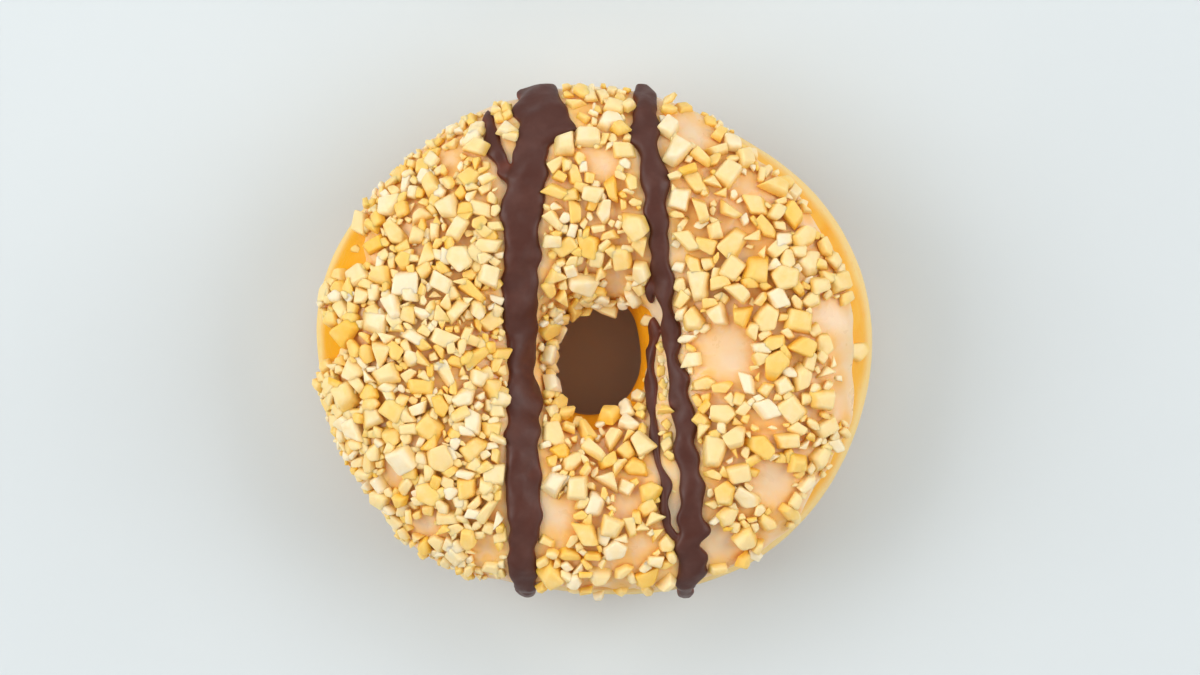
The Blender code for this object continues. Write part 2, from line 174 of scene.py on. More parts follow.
@dataclass(frozen=True)
class RingForm:
    """The uneven ring of dough that everything else lies on.

    Lumps are rows of the angle round the ring, the spread and the height of a bulge.
    """

    half_x: float = 46.4
    half_y: float = 41.8
    lumps: Rows = ((305, 30, 2.3), (234, 18, 1.3), (170, 12, 0.5), (136, 14, -1.1), (55, 20, -1.2))
    hole_centre: Span = (-0.9, -2.9)
    hole_half_x: float = 8.3
    hole_half_y: float = 9.2
    hole_lumps: Rows = ((55, 25, 1.4), (150, 22, -0.6))
    waist_height: float = 15.0
    crown_rise: float = 15.0
    crown_lumps: Rows = ((190, 50, 0.9), (300, 40, -0.7), (70, 35, 0.5))
    belly_drop: float = 15.6
    power: float = 2.3

    @staticmethod
    def bulges(degrees: np.ndarray, rows: Rows) -> np.ndarray:
        """Adds up smooth bulges.

        Args:
            degrees: Angles round the ring.
            rows: The angle, spread and height of each bulge.

        Returns:
            Their sum at each angle.
        """
        total = np.zeros_like(degrees)
        for centre, spread, height in rows:
            away = (degrees - centre + 180.0) % 360.0 - 180.0
            total += height * np.exp(-((away / spread) ** 2))
        return total

    @staticmethod
    def oval(theta: np.ndarray, half_x: float, half_y: float) -> np.ndarray:
        """Radius of an ellipse at each angle in radians."""
        return 1.0 / np.hypot(np.cos(theta) / half_x, np.sin(theta) / half_y)

    def rims(self, around: np.ndarray) -> tuple[np.ndarray, np.ndarray]:
        """Finds the ring's outline and its hole.

        Args:
            around: Angles round the ring.

        Returns:
            The x and y of the outer rim and of the hole's wall at each angle.
        """
        theta = np.radians(around)
        direction = np.stack([np.cos(theta), np.sin(theta)], -1)
        outer = self.oval(theta, self.half_x, self.half_y) + self.bulges(around, self.lumps)
        inner = self.oval(theta, self.hole_half_x, self.hole_half_y) + self.bulges(around, self.hole_lumps)
        return direction * outer[..., None], direction * inner[..., None] + np.array(self.hole_centre)

    def surface(
        self, around: np.ndarray, section: np.ndarray, lift: np.ndarray | float = 0.0
    ) -> tuple[np.ndarray, np.ndarray]:
        """Points on the dough or a way off it.

        Args:
            around: Angles round the ring.
            section: Angles round the section.
            lift: How far each point stands off the dough.

        Returns:
            The points and their outward normals.
        """
        rim, throat = self.rims(around)
        middle = (rim + throat) / 2.0
        half = (rim - throat) / 2.0
        width = np.linalg.norm(half, axis=-1)
        phi = np.radians(section)
        across = signed_power(np.cos(phi), 2.0 / self.power)
        upward = signed_power(np.sin(phi), 2.0 / self.power)
        crown = self.crown_rise + self.bulges(around, self.crown_lumps)
        rise = np.where(upward > 0.0, crown, self.belly_drop)
        outward_share = signed_power(across, self.power - 1.0) / width
        upward_share = signed_power(upward, self.power - 1.0) / rise
        level_part = half / width[..., None] * outward_share[..., None]
        normal = np.concatenate([level_part, upward_share[..., None]], -1)
        normal /= np.linalg.norm(normal, axis=-1, keepdims=True)
        height = self.waist_height + rise * upward
        points = np.concatenate([middle + half * across[..., None], height[..., None]], -1)
        points += normal * np.asarray(lift)[..., None]
        points[..., 2] = np.maximum(points[..., 2], -np.asarray(lift))
        return points, normal


@dataclass(frozen=True)
class IcingForm:
    """Where the icing ends, at the outer rim and in the hole.

    Edges are rows of the angle round the ring and the section angle there. Ripples
    are rows of the count round the ring, the size and the phase.
    """

    ring: RingForm
    thickness: float = 1.15
    outer_edge: Rows = (
        (0, 39), (33, 40), (46, 37), (62, 18), (80, 8), (130, 12), (146, 20), (151, 26), (156, 44),
        (160, 49), (163, 44), (167, 30), (173, 28), (177, 48), (180, 54), (183, 44), (188, 16), (215, 3),
        (233, 8), (246, 22), (262, 30.5), (292, 32), (312, 28), (330, 34),
    )
    inner_edge: Rows = (
        (0, 153), (18, 145), (38, 142), (58, 155), (75, 162), (110, 166), (180, 168),
        (225, 162), (250, 144), (275, 142), (305, 146), (335, 153),
    )
    ripples: Rows = ((7, 1.6, 0.4), (13, 1.1, 2.1), (23, 0.7, 4.0))
    inner_ripple: float = 0.6

    @staticmethod
    def eased(degrees: np.ndarray, rows: Rows) -> np.ndarray:
        """Eases a value from row to row all the way round.

        Args:
            degrees: Angles round the ring.
            rows: Angles with the value there.

        Returns:
            The value at each angle.
        """
        angles = np.array([row[0] for row in rows] + [rows[0][0] + 360.0])
        values = np.array([row[1] for row in rows] + [rows[0][1]], float)
        wrapped = (degrees - angles[0]) % 360.0 + angles[0]
        index = np.clip(np.searchsorted(angles, wrapped, side="right") - 1, 0, len(rows) - 1)
        share = (wrapped - angles[index]) / (angles[index + 1] - angles[index])
        share = share * share * (3.0 - 2.0 * share)
        return values[index] + (values[index + 1] - values[index]) * share

    def edges(self, around: np.ndarray) -> tuple[np.ndarray, np.ndarray]:
        """Finds both edges of the icing.

        Args:
            around: Angles round the ring.

        Returns:
            The section angles of the outer and the inner edge at each angle.
        """
        theta = np.radians(around)
        ripple = sum(size * np.sin(count * theta + phase) for count, size, phase in self.ripples)
        outer = self.eased(around, self.outer_edge) + ripple
        return outer, self.eased(around, self.inner_edge) - self.inner_ripple * ripple


@dataclass(frozen=True)
class ChocolateLine:
    """One line of chocolate: rows of y with its left and right edges, its ends, its height and its seed."""

    rows: Rows
    back: float
    front: float
    rise: float
    seed: int

    def edges(self, y: float) -> Span:
        """Left and right edge of the line at a y."""
        table = np.array(self.rows)[::-1]
        return float(np.interp(y, table[:, 0], table[:, 1])), float(np.interp(y, table[:, 0], table[:, 2]))

    @property
    def half_width(self) -> float:
        """Half of the line's mean width."""
        return sum(right - left for _, left, right in self.rows) / len(self.rows) / 2.0

    def covers(self, point: np.ndarray, margin: float) -> bool:
        """Tells whether a place lies under the line.

        Args:
            point: The place.
            margin: How far beside the line still counts.

        Returns:
            Whether it does.
        """
        if not self.rows[-1][0] <= point[1] <= self.rows[0][0]:
            return False
        left, right = self.edges(point[1])
        return left - margin < point[0] < right + margin


LEFT_LINE = ChocolateLine(
    rows=(
        (41.5, -12.7, -6.6), (38.2, -13.1, -4.7), (34.2, -12.5, -3.1), (31.6, -12.7, -7.6),
        (28.0, -14.6, -7.7), (23.0, -15.2, -8.3), (10.0, -15.1, -9.2), (2.5, -15.1, -9.6),
        (-2.0, -14.4, -10.2), (-13.5, -14.8, -9.2), (-25.0, -14.9, -8.7), (-34.0, -14.1, -9.4),
        (-38.5, -13.7, -9.3), (-41.0, -12.8, -9.8), (-43.0, -12.2, -10.2),
    ),
    back=49.0,
    front=-57.0,
    rise=1.5,
    seed=9,
)
RIGHT_LINE = ChocolateLine(
    rows=(
        (41.0, 6.6, 9.7), (38.0, 6.5, 10.3), (34.8, 5.3, 10.4), (29.8, 6.9, 10.9), (23.2, 7.4, 12.1),
        (17.5, 8.9, 11.5), (13.0, 8.7, 12.8), (9.5, 10.0, 12.8), (5.0, 10.9, 13.2), (-0.8, 11.5, 14.6),
        (-2.5, 12.1, 14.0), (-5.0, 12.2, 14.9), (-13.3, 13.0, 16.6), (-16.6, 12.9, 16.1),
        (-23.3, 13.8, 18.0), (-31.6, 13.4, 18.4), (-37.5, 13.2, 18.5), (-40.0, 13.6, 16.4),
        (-43.0, 14.2, 16.0),
    ),
    back=48.0,
    front=-58.0,
    rise=1.5,
    seed=10,
)
SPUR_LINE = ChocolateLine(
    rows=((39.4, -18.0, -17.5), (36.5, -18.2, -16.6), (30.8, -17.6, -14.8), (26.0, -15.8, -11.5)),
    back=42.0,
    front=25.0,
    rise=1.15,
    seed=9,
)
UPPER_BRANCH = ChocolateLine(
    rows=((15.0, 9.5, 11.6), (12.0, 9.1, 11.1), (8.6, 8.5, 10.3), (6.1, 8.6, 10.2)),
    back=15.0,
    front=6.1,
    rise=1.15,
    seed=12,
)
LOWER_BRANCH = ChocolateLine(
    rows=(
        (3.9, 8.7, 10.1), (0.0, 9.0, 10.4), (-4.5, 9.0, 10.2), (-11.0, 8.7, 10.2), (-17.0, 9.3, 10.8),
        (-25.0, 10.6, 12.0), (-30.0, 11.0, 12.5), (-33.0, 12.2, 14.6),
    ),
    back=3.9,
    front=-33.5,
    rise=1.15,
    seed=12,
)
LINES = (LEFT_LINE, RIGHT_LINE, SPUR_LINE, UPPER_BRANCH, LOWER_BRANCH)


class Draws(NamedTuple):
    """A piece of almond's draws from 0 to 1: its width, thickness, turn, tip, stance and cut shape."""

    width: float
    thickness: float
    turn: float
    tip: float
    stance: float
    shape: float


class Site(NamedTuple):
    """Where a piece of almond lies, its length, its draws and how far other pieces raise it."""

    point: np.ndarray
    normal: np.ndarray
    size: float
    draws: Draws
    raised: float


class Cells(NamedTuple):
    """The icing's cells: points, normals, section angles, outer edges and summed chances."""

    points: np.ndarray
    normals: np.ndarray
    section: np.ndarray
    outer: np.ndarray
    chances: np.ndarray


RIM_PIECE = Draws(width=0.6, thickness=0.4, turn=0.0, tip=0.5, stance=0.0, shape=0.0)
DROPPED_PIECE = Draws(width=0.7, thickness=0.2, turn=0.0, tip=0.5, stance=0.0, shape=0.1)


@dataclass(frozen=True)
class AlmondLayout:
    """Where the chopped almonds lie: at the rim, over the icing, in its gaps and on bare dough.

    Bare spots are rows of x, y and radius. Edge pieces are rows of the angle round the
    ring, the section angle, the length and the turn. Dough and strip pieces are rows of
    x, y, length and turn. Crowding and filler share go by x.
    """

    ring: RingForm
    icing: IcingForm
    seed: int = 41
    largest: float = 5.6
    smallest: float = 1.5
    count: int = 760
    size_fall: float = 1.15
    tries: int = 40
    solid_count: int = 270
    solid_spacing: float = 0.76
    cell_turn: float = 1.0
    cell_section: float = 1.5
    cell_margins: Span = (3.0, 2.0)
    rim_margin: float = 11.0
    rim_margin_per_size: float = 7.0
    edge_margin: float = 2.0
    edge_margin_per_size: float = 1.3
    front_span: Span = (246.0, 304.0)
    front_margin: float = 11.0
    chocolate_margin: float = 0.32
    spot_reach: float = 0.3
    raise_by_each: float = 0.3
    raised_most: float = 0.9
    crowding: tuple[Triple, Triple] = ((-20.0, 4.0, 30.0), (0.52, 0.62, 0.66))
    bare_spots: Rows = (
        (21.5, -2.0, 4.4), (39.0, 3.3, 2.6), (41.0, -9.5, 3.0), (29.0, -23.5, 3.2), (30.5, -34.0, 3.4),
        (19.6, -33.0, 2.4), (15.8, 34.5, 2.6), (25.0, 25.0, 1.8), (-6.2, -28.5, 3.0), (5.3, -26.5, 1.8),
        (7.0, -33.6, 2.2), (3.6, 9.6, 1.6), (1.5, 28.5, 2.2), (11.0, 19.0, 1.6), (-23.5, 29.5, 1.5),
        (-32.5, -21.7, 1.3), (-27.5, -30.0, 1.6), (-17.5, -34.0, 1.5),
    )
    edge_pieces: Rows = (
        (94, 24, 3.4, 20), (86, 27, 3.0, 70), (69, 28, 3.5, 40), (62, 30, 3.0, 10),
        (226, 18, 2.8, 0), (236, 22, 2.6, 50), (241, 20, 2.6, 130), (265, 34, 2.8, 20), (271, 28, 3.0, 95),
        (276, 35, 3.0, 60), (282, 34, 3.4, 110), (153, 36, 5.2, 25), (165.5, 42, 4.2, 100),
        (169, 35, 4.6, 12), (172, 50, 5.0, 60), (185, 36, 3.8, 115),
    )
    edge_turn_range: float = 140.0
    dough_pieces: Rows = ((43.6, -1.8, 4.6, 84), (8.4, 3.4, 3.0, 70), (-39.6, 15.3, 2.0, 95))
    dough_piece_lift: float = -0.2
    strip_pieces: Rows = (
        (11.1, -0.9, 2.0, 40), (11.2, -2.9, 1.9, 100), (11.2, -4.9, 2.2, 15), (11.5, -7.1, 2.1, 70),
        (11.4, -9.2, 2.0, 120), (11.7, -11.4, 2.3, 30), (11.9, -13.7, 2.1, 85), (12.0, -15.9, 2.3, 50),
        (12.2, -18.6, 2.0, 110),
    )
    strip_piece_lift: float = 0.4
    dropped_turn_up: float = 1.5
    filler_count: int = 800
    filler_seed: int = 541
    filler_largest: float = 3.8
    filler_smallest: float = 1.2
    filler_tries: int = 20
    filler_closeness: float = 0.82
    filler_share: tuple[Triple, Triple] = ((-20.0, 0.0, 20.0), (1.0, 1.0, 0.95))

    def in_a_spot(self, point: np.ndarray, size: float, rows: Rows) -> bool:
        """Whether a piece of a size would reach into one of the round spots."""
        reach = self.spot_reach * size
        return any(np.hypot(point[0] - row[0], point[1] - row[1]) < row[2] + reach for row in rows)

    def at_front(self, point: np.ndarray) -> bool:
        """Whether a place lies on the stretch at the front where the dough shows under the icing."""
        turn = math.degrees(math.atan2(point[1], point[0])) % 360.0
        return self.front_span[0] < turn < self.front_span[1]

    def barred(self, point: np.ndarray, section: float, outer: float, size: float, small: bool) -> bool:
        """Tells whether a place is kept free: an edge, a bare spot, a piece on dough or chocolate.

        Args:
            point: The place.
            section: Its section angle.
            outer: The section angle of the icing's outer edge there.
            size: The piece's length.
            small: Whether the piece is too small to be in the solid.

        Returns:
            Whether it is.
        """
        front = self.front_margin if small and self.at_front(point) else 0.0
        return (
            section < self.rim_margin + self.rim_margin_per_size * size
            or section < outer + self.edge_margin + self.edge_margin_per_size * size + front
            or self.in_a_spot(point, size, self.bare_spots)
            or self.in_a_spot(point, size, self.dough_pieces)
            or any(line.covers(point, self.chocolate_margin * size) for line in LINES)
        )

    def cells(self) -> Cells:
        """Splits the icing into cells, each with a chance by its area.

        Returns:
            The cells.
        """
        turns = np.arange(0.0, 360.0, self.cell_turn)
        angles = np.arange(0.0, 180.0, self.cell_section)
        around, section = np.meshgrid(turns, angles, indexing="ij")
        points, normals = self.ring.surface(around, section, np.full_like(around, self.icing.thickness))
        outer, inner = self.icing.edges(around)
        iced = (section > outer + self.cell_margins[0]) & (section < inner - self.cell_margins[1])
        step_round = np.linalg.norm(np.roll(points, -1, 0) - points, axis=-1)
        step_over = np.linalg.norm(np.gradient(points, axis=1), axis=-1)
        area = np.where(iced, step_round * step_over, 0.0).ravel()
        chances = np.cumsum(area) / area.sum()
        return Cells(points.reshape(-1, 3), normals.reshape(-1, 3), section.ravel(), outer.ravel(), chances)

    def rim_sites(self) -> list[Site]:
        """The pieces that stand out at the icing's rim.

        Returns:
            Their sites.
        """
        sites = []
        for around, section, size, turn in self.edge_pieces:
            angles = (np.array(float(around)), np.array(float(section)))
            point, normal = self.ring.surface(*angles, self.icing.thickness)
            draws = RIM_PIECE._replace(turn=turn / 360.0, shape=turn / self.edge_turn_range)
            sites.append(Site(point, normal, size, draws, 0.0))
        return sites

    def scatter(
        self,
        random: np.random.Generator,
        sizes: Sequence[float],
        sites: list[Site],
        tries: int,
        closeness: float,
    ) -> None:
        """Adds a piece of each size where it finds room, and leaves it out where it finds none.

        Args:
            random: The seeded random draws.
            sizes: Lengths of the pieces, the largest first.
            sites: The pieces that lie there already, which grow by the new ones.
            tries: How many places are tried for a piece.
            closeness: Factor on how close pieces may lie.
        """
        cells = self.cells()
        placed = np.array([[*site.point, site.size] for site in sites])
        for size in sizes:
            draws = Draws(*random.random(len(Draws._fields)))
            for cell in np.searchsorted(cells.chances, random.random(tries)):
                point = cells.points[cell]
                away = np.linalg.norm(placed[:, :3] - point, axis=1)
                reach = (placed[:, 3] + size) / 2.0
                small = len(sites) >= self.solid_count
                spacing = closeness * np.interp(point[0], *self.crowding) if small else self.solid_spacing
                if (away < spacing * reach).any():
                    continue
                if self.barred(point, cells.section[cell], cells.outer[cell], size, small):
                    continue
                raised = min(self.raise_by_each * (away < reach).sum(), self.raised_most)
                sites.append(Site(point, cells.normals[cell], size, draws, raised))
                placed = np.vstack([placed, [*point, size]])
                break

    def sites(self) -> list[Site]:
        """All scattered pieces on the icing, the ones that the solid has first.

        Returns:
            Their sites.
        """
        found = self.rim_sites()
        shares = (np.arange(self.count) / (self.count - 1)) ** self.size_fall
        sizes = self.largest * (self.smallest / self.largest) ** shares
        self.scatter(np.random.default_rng(self.seed), list(sizes), found, self.tries, 1.0)
        first_filler = len(found)
        fillers = list(np.linspace(self.filler_largest, self.filler_smallest, self.filler_count))
        random = np.random.default_rng(self.filler_seed)
        self.scatter(random, fillers, found, self.filler_tries, self.filler_closeness)
        kept = found[:first_filler]
        for site in found[first_filler:]:
            if random.random() < np.interp(site.point[0], *self.filler_share):
                kept.append(site)
        return kept

    def dropped_sites(self, tree: BVHTree, rows: Rows, lift: float) -> list[Site]:
        """Pieces dropped on the coat at given places.

        Args:
            tree: The coat's surface.
            rows: The x, y, length and turn of each piece.
            lift: How far off the coat they lie.

        Returns:
            Their sites, turned half upright.
        """
        sites = []
        for x, y, size, turn in rows:
            hit, normal, _, _ = tree.ray_cast(Vector((x, y, RAY_START)), Vector((0.0, 0.0, -1.0)))
            upright = (normal + Vector((0.0, 0.0, self.dropped_turn_up))).normalized()
            draws = DROPPED_PIECE._replace(turn=turn / 360.0)
            sites.append(Site(np.array(hit + normal * lift), np.array(upright), size, draws, 0.0))
        return sites


class Wiring:
    """A node tree under construction, with short ways to add and link its nodes."""

    def __init__(self, tree: bpy.types.NodeTree) -> None:
        """Takes the tree that the nodes go into."""
        self.tree = tree

    def feed(self, socket: Socket, value: Value) -> None:
        """Links an output to a socket, or sets the socket's value.

        Args:
            socket: The input.
            value: An output, or a plain value.
        """
        if isinstance(value, Socket):
            self.tree.links.new(value, socket)
        else:
            socket.default_value = value

    def add(
        self, kind: str, inputs: dict[str | int, Value] | None = None, **settings: object
    ) -> bpy.types.Node:
        """Adds a node.

        Args:
            kind: The node's type.
            inputs: What its sockets get, by name or by number.
            settings: The node's own properties.

        Returns:
            The node.
        """
        node = self.tree.nodes.new(kind)
        for name, value in settings.items():
            setattr(node, name, value)
        for name, value in (inputs or {}).items():
            self.feed(node.inputs[name], value)
        return node

    def math(self, operation: str, *values: Value) -> Socket:
        """One sum on values, sockets or fields."""
        return self.add("ShaderNodeMath", dict(enumerate(values)), operation=operation).outputs[0]


@dataclass(frozen=True)
class Waves:
    """A noise: its waves in a metre, its octaves, the share that each octave keeps and its stretch."""

    scale: float
    octaves: float = 3.0
    roughness: float = 0.5
    stretch: Triple = (1.0, 1.0, 1.0)


@dataclass(frozen=True)
class Relief:
    """A fine relief: its noise, its depth in metres and its strength."""

    waves: Waves
    depth: float
    strength: float


@dataclass(frozen=True)
class Gloss:
    """How rough a surface is: where its roughness wanders between two bounds."""

    waves: Waves
    bounds: Span


@dataclass(frozen=True)
class Translucence:
    """How light spreads under a surface: its share, its reach by colour and its scale in metres."""

    share: float
    reach: Triple
    scale: float


class Sheet(Wiring):
    """A material under construction, on the piece's own coordinates."""

    NOISE_MIDDLE = (0.3, 0.7)

    def __init__(self, name: str) -> None:
        """Starts a material with its shader and the piece's own coordinates.

        Args:
            name: The material's name.
        """
        self.material = bpy.data.materials.new(name)
        self.material.use_nodes = True
        super().__init__(self.material.node_tree)
        self.shader = self.tree.nodes["Principled BSDF"]
        self.coordinates = self.add("ShaderNodeTexCoord").outputs["Object"]

    def noise(self, waves: Waves) -> Socket:
        """A noise on the piece's own coordinates.

        Args:
            waves: Its settings.

        Returns:
            The socket of its value from 0 to 1.
        """
        source = self.coordinates
        if waves.stretch != Waves.stretch:
            mapping = self.add("ShaderNodeMapping", {"Vector": source, "Scale": waves.stretch})
            source = mapping.outputs["Vector"]
        settings = {"Scale": waves.scale, "Detail": waves.octaves, "Roughness": waves.roughness}
        return self.add("ShaderNodeTexNoise", {"Vector": source, **settings}).outputs["Fac"]

    def attribute(self, name: str) -> Socket:
        """The value of a named attribute of the mesh."""
        return self.add("ShaderNodeAttribute", attribute_name=name).outputs["Fac"]

    def along(self, axis: str) -> Socket:
        """The place along an axis in metres."""
        return self.add("ShaderNodeSeparateXYZ", {0: self.coordinates}).outputs[axis]

    def reach(self) -> Socket:
        """Works out the distance from the upright axis.

        Returns:
            The socket of the distance in metres.
        """
        inputs = {0: self.coordinates, 1: (1.0, 1.0, 0.0)}
        flat = self.add("ShaderNodeVectorMath", inputs, operation="MULTIPLY")
        return self.add("ShaderNodeVectorMath", {0: flat.outputs[0]}, operation="LENGTH").outputs["Value"]

    def ramp(self, value: Value, *stops: tuple[float, Colour]) -> Socket:
        """Gives each value a colour, eased between the stops.

        Args:
            value: The value from 0 to 1.
            stops: Places with their colours.

        Returns:
            The socket of the colour.
        """
        node = self.add("ShaderNodeValToRGB", {"Fac": value})
        node.color_ramp.interpolation = "EASE"
        elements = node.color_ramp.elements
        while len(elements) < len(stops):
            elements.new(0.5)
        for element, (place, colour) in zip(elements, stops):
            element.position = place
            element.color = colour
        return node.outputs["Color"]

    def span(self, value: Value, low: float, high: float, first: float = 0.0, last: float = 1.0) -> Socket:
        """Maps a value from one span to another, smoothly and held at the ends.

        Args:
            value: The value.
            low: Where the first span starts.
            high: Where the first span ends.
            first: The result at low.
            last: The result at high.

        Returns:
            The socket of the result.
        """
        ends = {"From Min": low, "From Max": high, "To Min": first, "To Max": last}
        node = self.add("ShaderNodeMapRange", {"Value": value, **ends}, interpolation_type="SMOOTHSTEP")
        return node.outputs["Result"]

    def mix(self, share: Value, first: Value, second: Value) -> Socket:
        """Blends two colours."""
        inputs = {"Factor": share, 6: first, 7: second}
        return self.add("ShaderNodeMix", inputs, data_type="RGBA").outputs[2]

    def relief(self, *layers: Relief) -> Socket:
        """Lays reliefs one over the other.

        Args:
            layers: The reliefs, the broadest first.

        Returns:
            The socket of the bent normal.
        """
        normal = {}
        for layer in layers:
            height = self.noise(layer.waves)
            inputs = {"Strength": layer.strength, "Distance": layer.depth, "Height": height, **normal}
            normal = {"Normal": self.add("ShaderNodeBump", inputs).outputs["Normal"]}
        return normal["Normal"]

    def finish(
        self,
        colour: Value,
        gloss: Gloss,
        reliefs: Sequence[Relief],
        translucence: Translucence | None = None,
        specular: Value | None = None,
    ) -> bpy.types.Material:
        """Sets the shader and hands out the material.

        Args:
            colour: The base colour.
            gloss: The roughness.
            reliefs: The fine reliefs, the broadest first.
            translucence: How light spreads under the surface, if it does.
            specular: The strength of its reflection, where it isn't the usual one.

        Returns:
            The material.
        """
        roughness = self.span(self.noise(gloss.waves), *self.NOISE_MIDDLE, *gloss.bounds)
        inputs = {"Base Color": colour, "Roughness": roughness, "Normal": self.relief(*reliefs)}
        if translucence:
            inputs["Subsurface Weight"] = translucence.share
            inputs["Subsurface Radius"] = translucence.reach
            inputs["Subsurface Scale"] = translucence.scale
        if specular is not None:
            inputs["Specular IOR Level"] = specular
        for name, value in inputs.items():
            self.feed(self.shader.inputs[name], value)
        return self.material


@dataclass(frozen=True)
class CrustFinish:
    """Fried dough: amber where the oil browned it, pale at the waist, browner below."""

    amber: Colour = linear(250, 184, 54)
    deep: Colour = linear(248, 168, 16)
    mottle: Waves = Waves(160.0, 4.0, 0.6)
    mottle_span: Span = (0.3, 0.62)
    under: Colour = linear(220, 146, 40)
    under_span: Span = (0.0015, 0.0105)
    left: Colour = linear(238, 166, 0)
    left_span: Span = (-0.042, -0.034)
    left_share: float = 0.85
    left_dulling: float = -0.42
    throat: Colour = linear(250, 172, 14)
    throat_span: Span = (0.016, 0.028)
    pale: Colour = linear(250, 214, 136)
    band_height: float = 0.0170
    band_span: Span = (0.0054, 0.0082)
    band_share: float = 0.92
    band_wander: float = 0.0040
    band_waves: Waves = Waves(70.0)
    specks: Waves = Waves(900.0, 2.0)
    speck_span: Span = (0.60, 0.74)
    speck_share: float = 0.25
    specular: float = 0.5
    gloss: Gloss = Gloss(Waves(240.0), (0.42, 0.58))
    wrinkles: Relief = Relief(Waves(420.0, 5.0, 0.62, (1.0, 1.0, 1.8)), 0.00035, 0.8)
    pores: Relief = Relief(Waves(2100.0, 2.0), 0.00005, 0.7)
    translucence: Translucence = Translucence(0.12, (1.0, 0.45, 0.12), 0.0012)

    def material(self) -> bpy.types.Material:
        """Mixes the crust's colours, relief and gloss.

        Returns:
            The crust's material.
        """
        sheet = Sheet("fried_crust")
        height = sheet.along("Z")
        browned = sheet.ramp(
            sheet.noise(self.mottle), (self.mottle_span[0], self.deep), (self.mottle_span[1], self.amber)
        )
        browned = sheet.mix(sheet.span(height, *self.under_span, 1.0, 0.0), browned, self.under)
        left = sheet.span(sheet.along("X"), *self.left_span, self.left_share, 0.0)
        browned = sheet.mix(left, browned, self.left)
        outside = sheet.span(sheet.reach(), *self.throat_span)
        colour = sheet.mix(outside, self.throat, browned)
        wandering = sheet.math("MULTIPLY_ADD", sheet.noise(self.band_waves), self.band_wander, height)
        off_band = sheet.math("ABSOLUTE", sheet.math("SUBTRACT", wandering, self.band_height))
        band = sheet.span(off_band, *self.band_span, self.band_share, 0.0)
        colour = sheet.mix(sheet.math("MULTIPLY", band, outside), colour, self.pale)
        speck = sheet.span(sheet.noise(self.specks), *self.speck_span, 0.0, self.speck_share)
        colour = sheet.mix(speck, colour, self.deep)
        specular = sheet.math("MULTIPLY_ADD", left, self.left_dulling, self.specular)
        return sheet.finish(colour, self.gloss, (self.wrinkles, self.pores), self.translucence, specular)


@dataclass(frozen=True)
class IcingFinish:
    """Set sugar icing: pale peach with a soft sheen, warmer in random clouds, and with painted warm shade in
    the gaps beside the almonds.
    """

    peach: Colour = linear(250, 214, 178)
    # Warm orange: the tone of the random clouds, and the painted warm shade in the gaps beside the almonds.
    warm_tone_and_gap_shade: Colour = linear(255, 192, 110)
    clouds: Waves = Waves(130.0, 4.0, 0.55)
    cloud_span: Span = (0.38, 0.68)
    cloud_share: float = 0.45
    # How strongly the painted warm shade colours the icing beside the almonds.
    gap_shade_share: float = 0.85
    gloss: Gloss = Gloss(Waves(380.0), (0.26, 0.42))
    dents: Relief = Relief(Waves(260.0), 0.0003, 0.6)
    grain: Relief = Relief(Waves(1500.0), 0.00003, 0.5)
    translucence: Translucence = Translucence(0.5, (1.0, 0.55, 0.28), 0.0022)

    def material(self) -> bpy.types.Material:
        """Mixes the icing's colours, relief and gloss.

        Returns:
            The icing's material.
        """
        sheet = Sheet("set_icing")
        cloud = sheet.span(sheet.noise(self.clouds), *self.cloud_span, 0.0, self.cloud_share)
        # Painted shade: the icing turns warm orange where almonds are near, standing in for the warm shade
        # in the gaps between them.
        near = sheet.math("MULTIPLY", sheet.attribute("nearness"), self.gap_shade_share)
        colour = sheet.mix(sheet.math("ADD", cloud, near), self.peach, self.warm_tone_and_gap_shade)
        return sheet.finish(colour, self.gloss, (self.dents, self.grain), self.translucence)


@dataclass(frozen=True)
class AlmondFinish:
    """Chopped blanched almond: cream to yellow from piece to piece, with a waxy grain, and painted shade:
    more golden at each piece's foot, lighter on top.
    """

    white: Colour = linear(255, 233, 198)
    cream: Colour = linear(254, 222, 160)
    yellow: Colour = linear(253, 208, 112)
    golden: Colour = linear(252, 195, 68)
    places: tuple[float, float, float, float] = (0.0, 0.30, 0.66, 1.0)
    grain: Waves = Waves(520.0)
    grain_share: float = 0.5
    # Painted shade by height in each piece: golden at the foot, lighter on top.
    shade_level_span: Span = (0.0, 0.9)
    foot_painted_shade: float = 0.32
    top_painted_light: float = -0.10
    gloss: Gloss = Gloss(Waves(700.0), (0.36, 0.54))
    dents: Relief = Relief(Waves(360.0), 0.0005, 0.6)
    fibres: Relief = Relief(Waves(1400.0, 3.0, 0.55, (1.0, 1.0, 2.4)), 0.00005, 0.7)
    translucence: Translucence = Translucence(0.6, (1.0, 0.9, 0.72), 0.0005)

    def material(self) -> bpy.types.Material:
        """Mixes the almonds' colours, relief and gloss.

        Returns:
            The almonds' material.
        """
        sheet = Sheet("chopped_almond")
        share = self.grain_share
        tone = sheet.math("MULTIPLY_ADD", sheet.noise(self.grain), share, -share / 2.0)
        tone = sheet.math("ADD", sheet.attribute("tint"), tone)
        # Painted shade: the foot of each piece is pushed towards golden and its top towards white.
        level = sheet.span(sheet.attribute("level"), *self.shade_level_span, self.foot_painted_shade, self.top_painted_light)
        colours = (self.white, self.cream, self.yellow, self.golden)
        colour = sheet.ramp(sheet.math("ADD", tone, level), *zip(self.places, colours))
        return sheet.finish(colour, self.gloss, (self.dents, self.fibres), self.translucence)


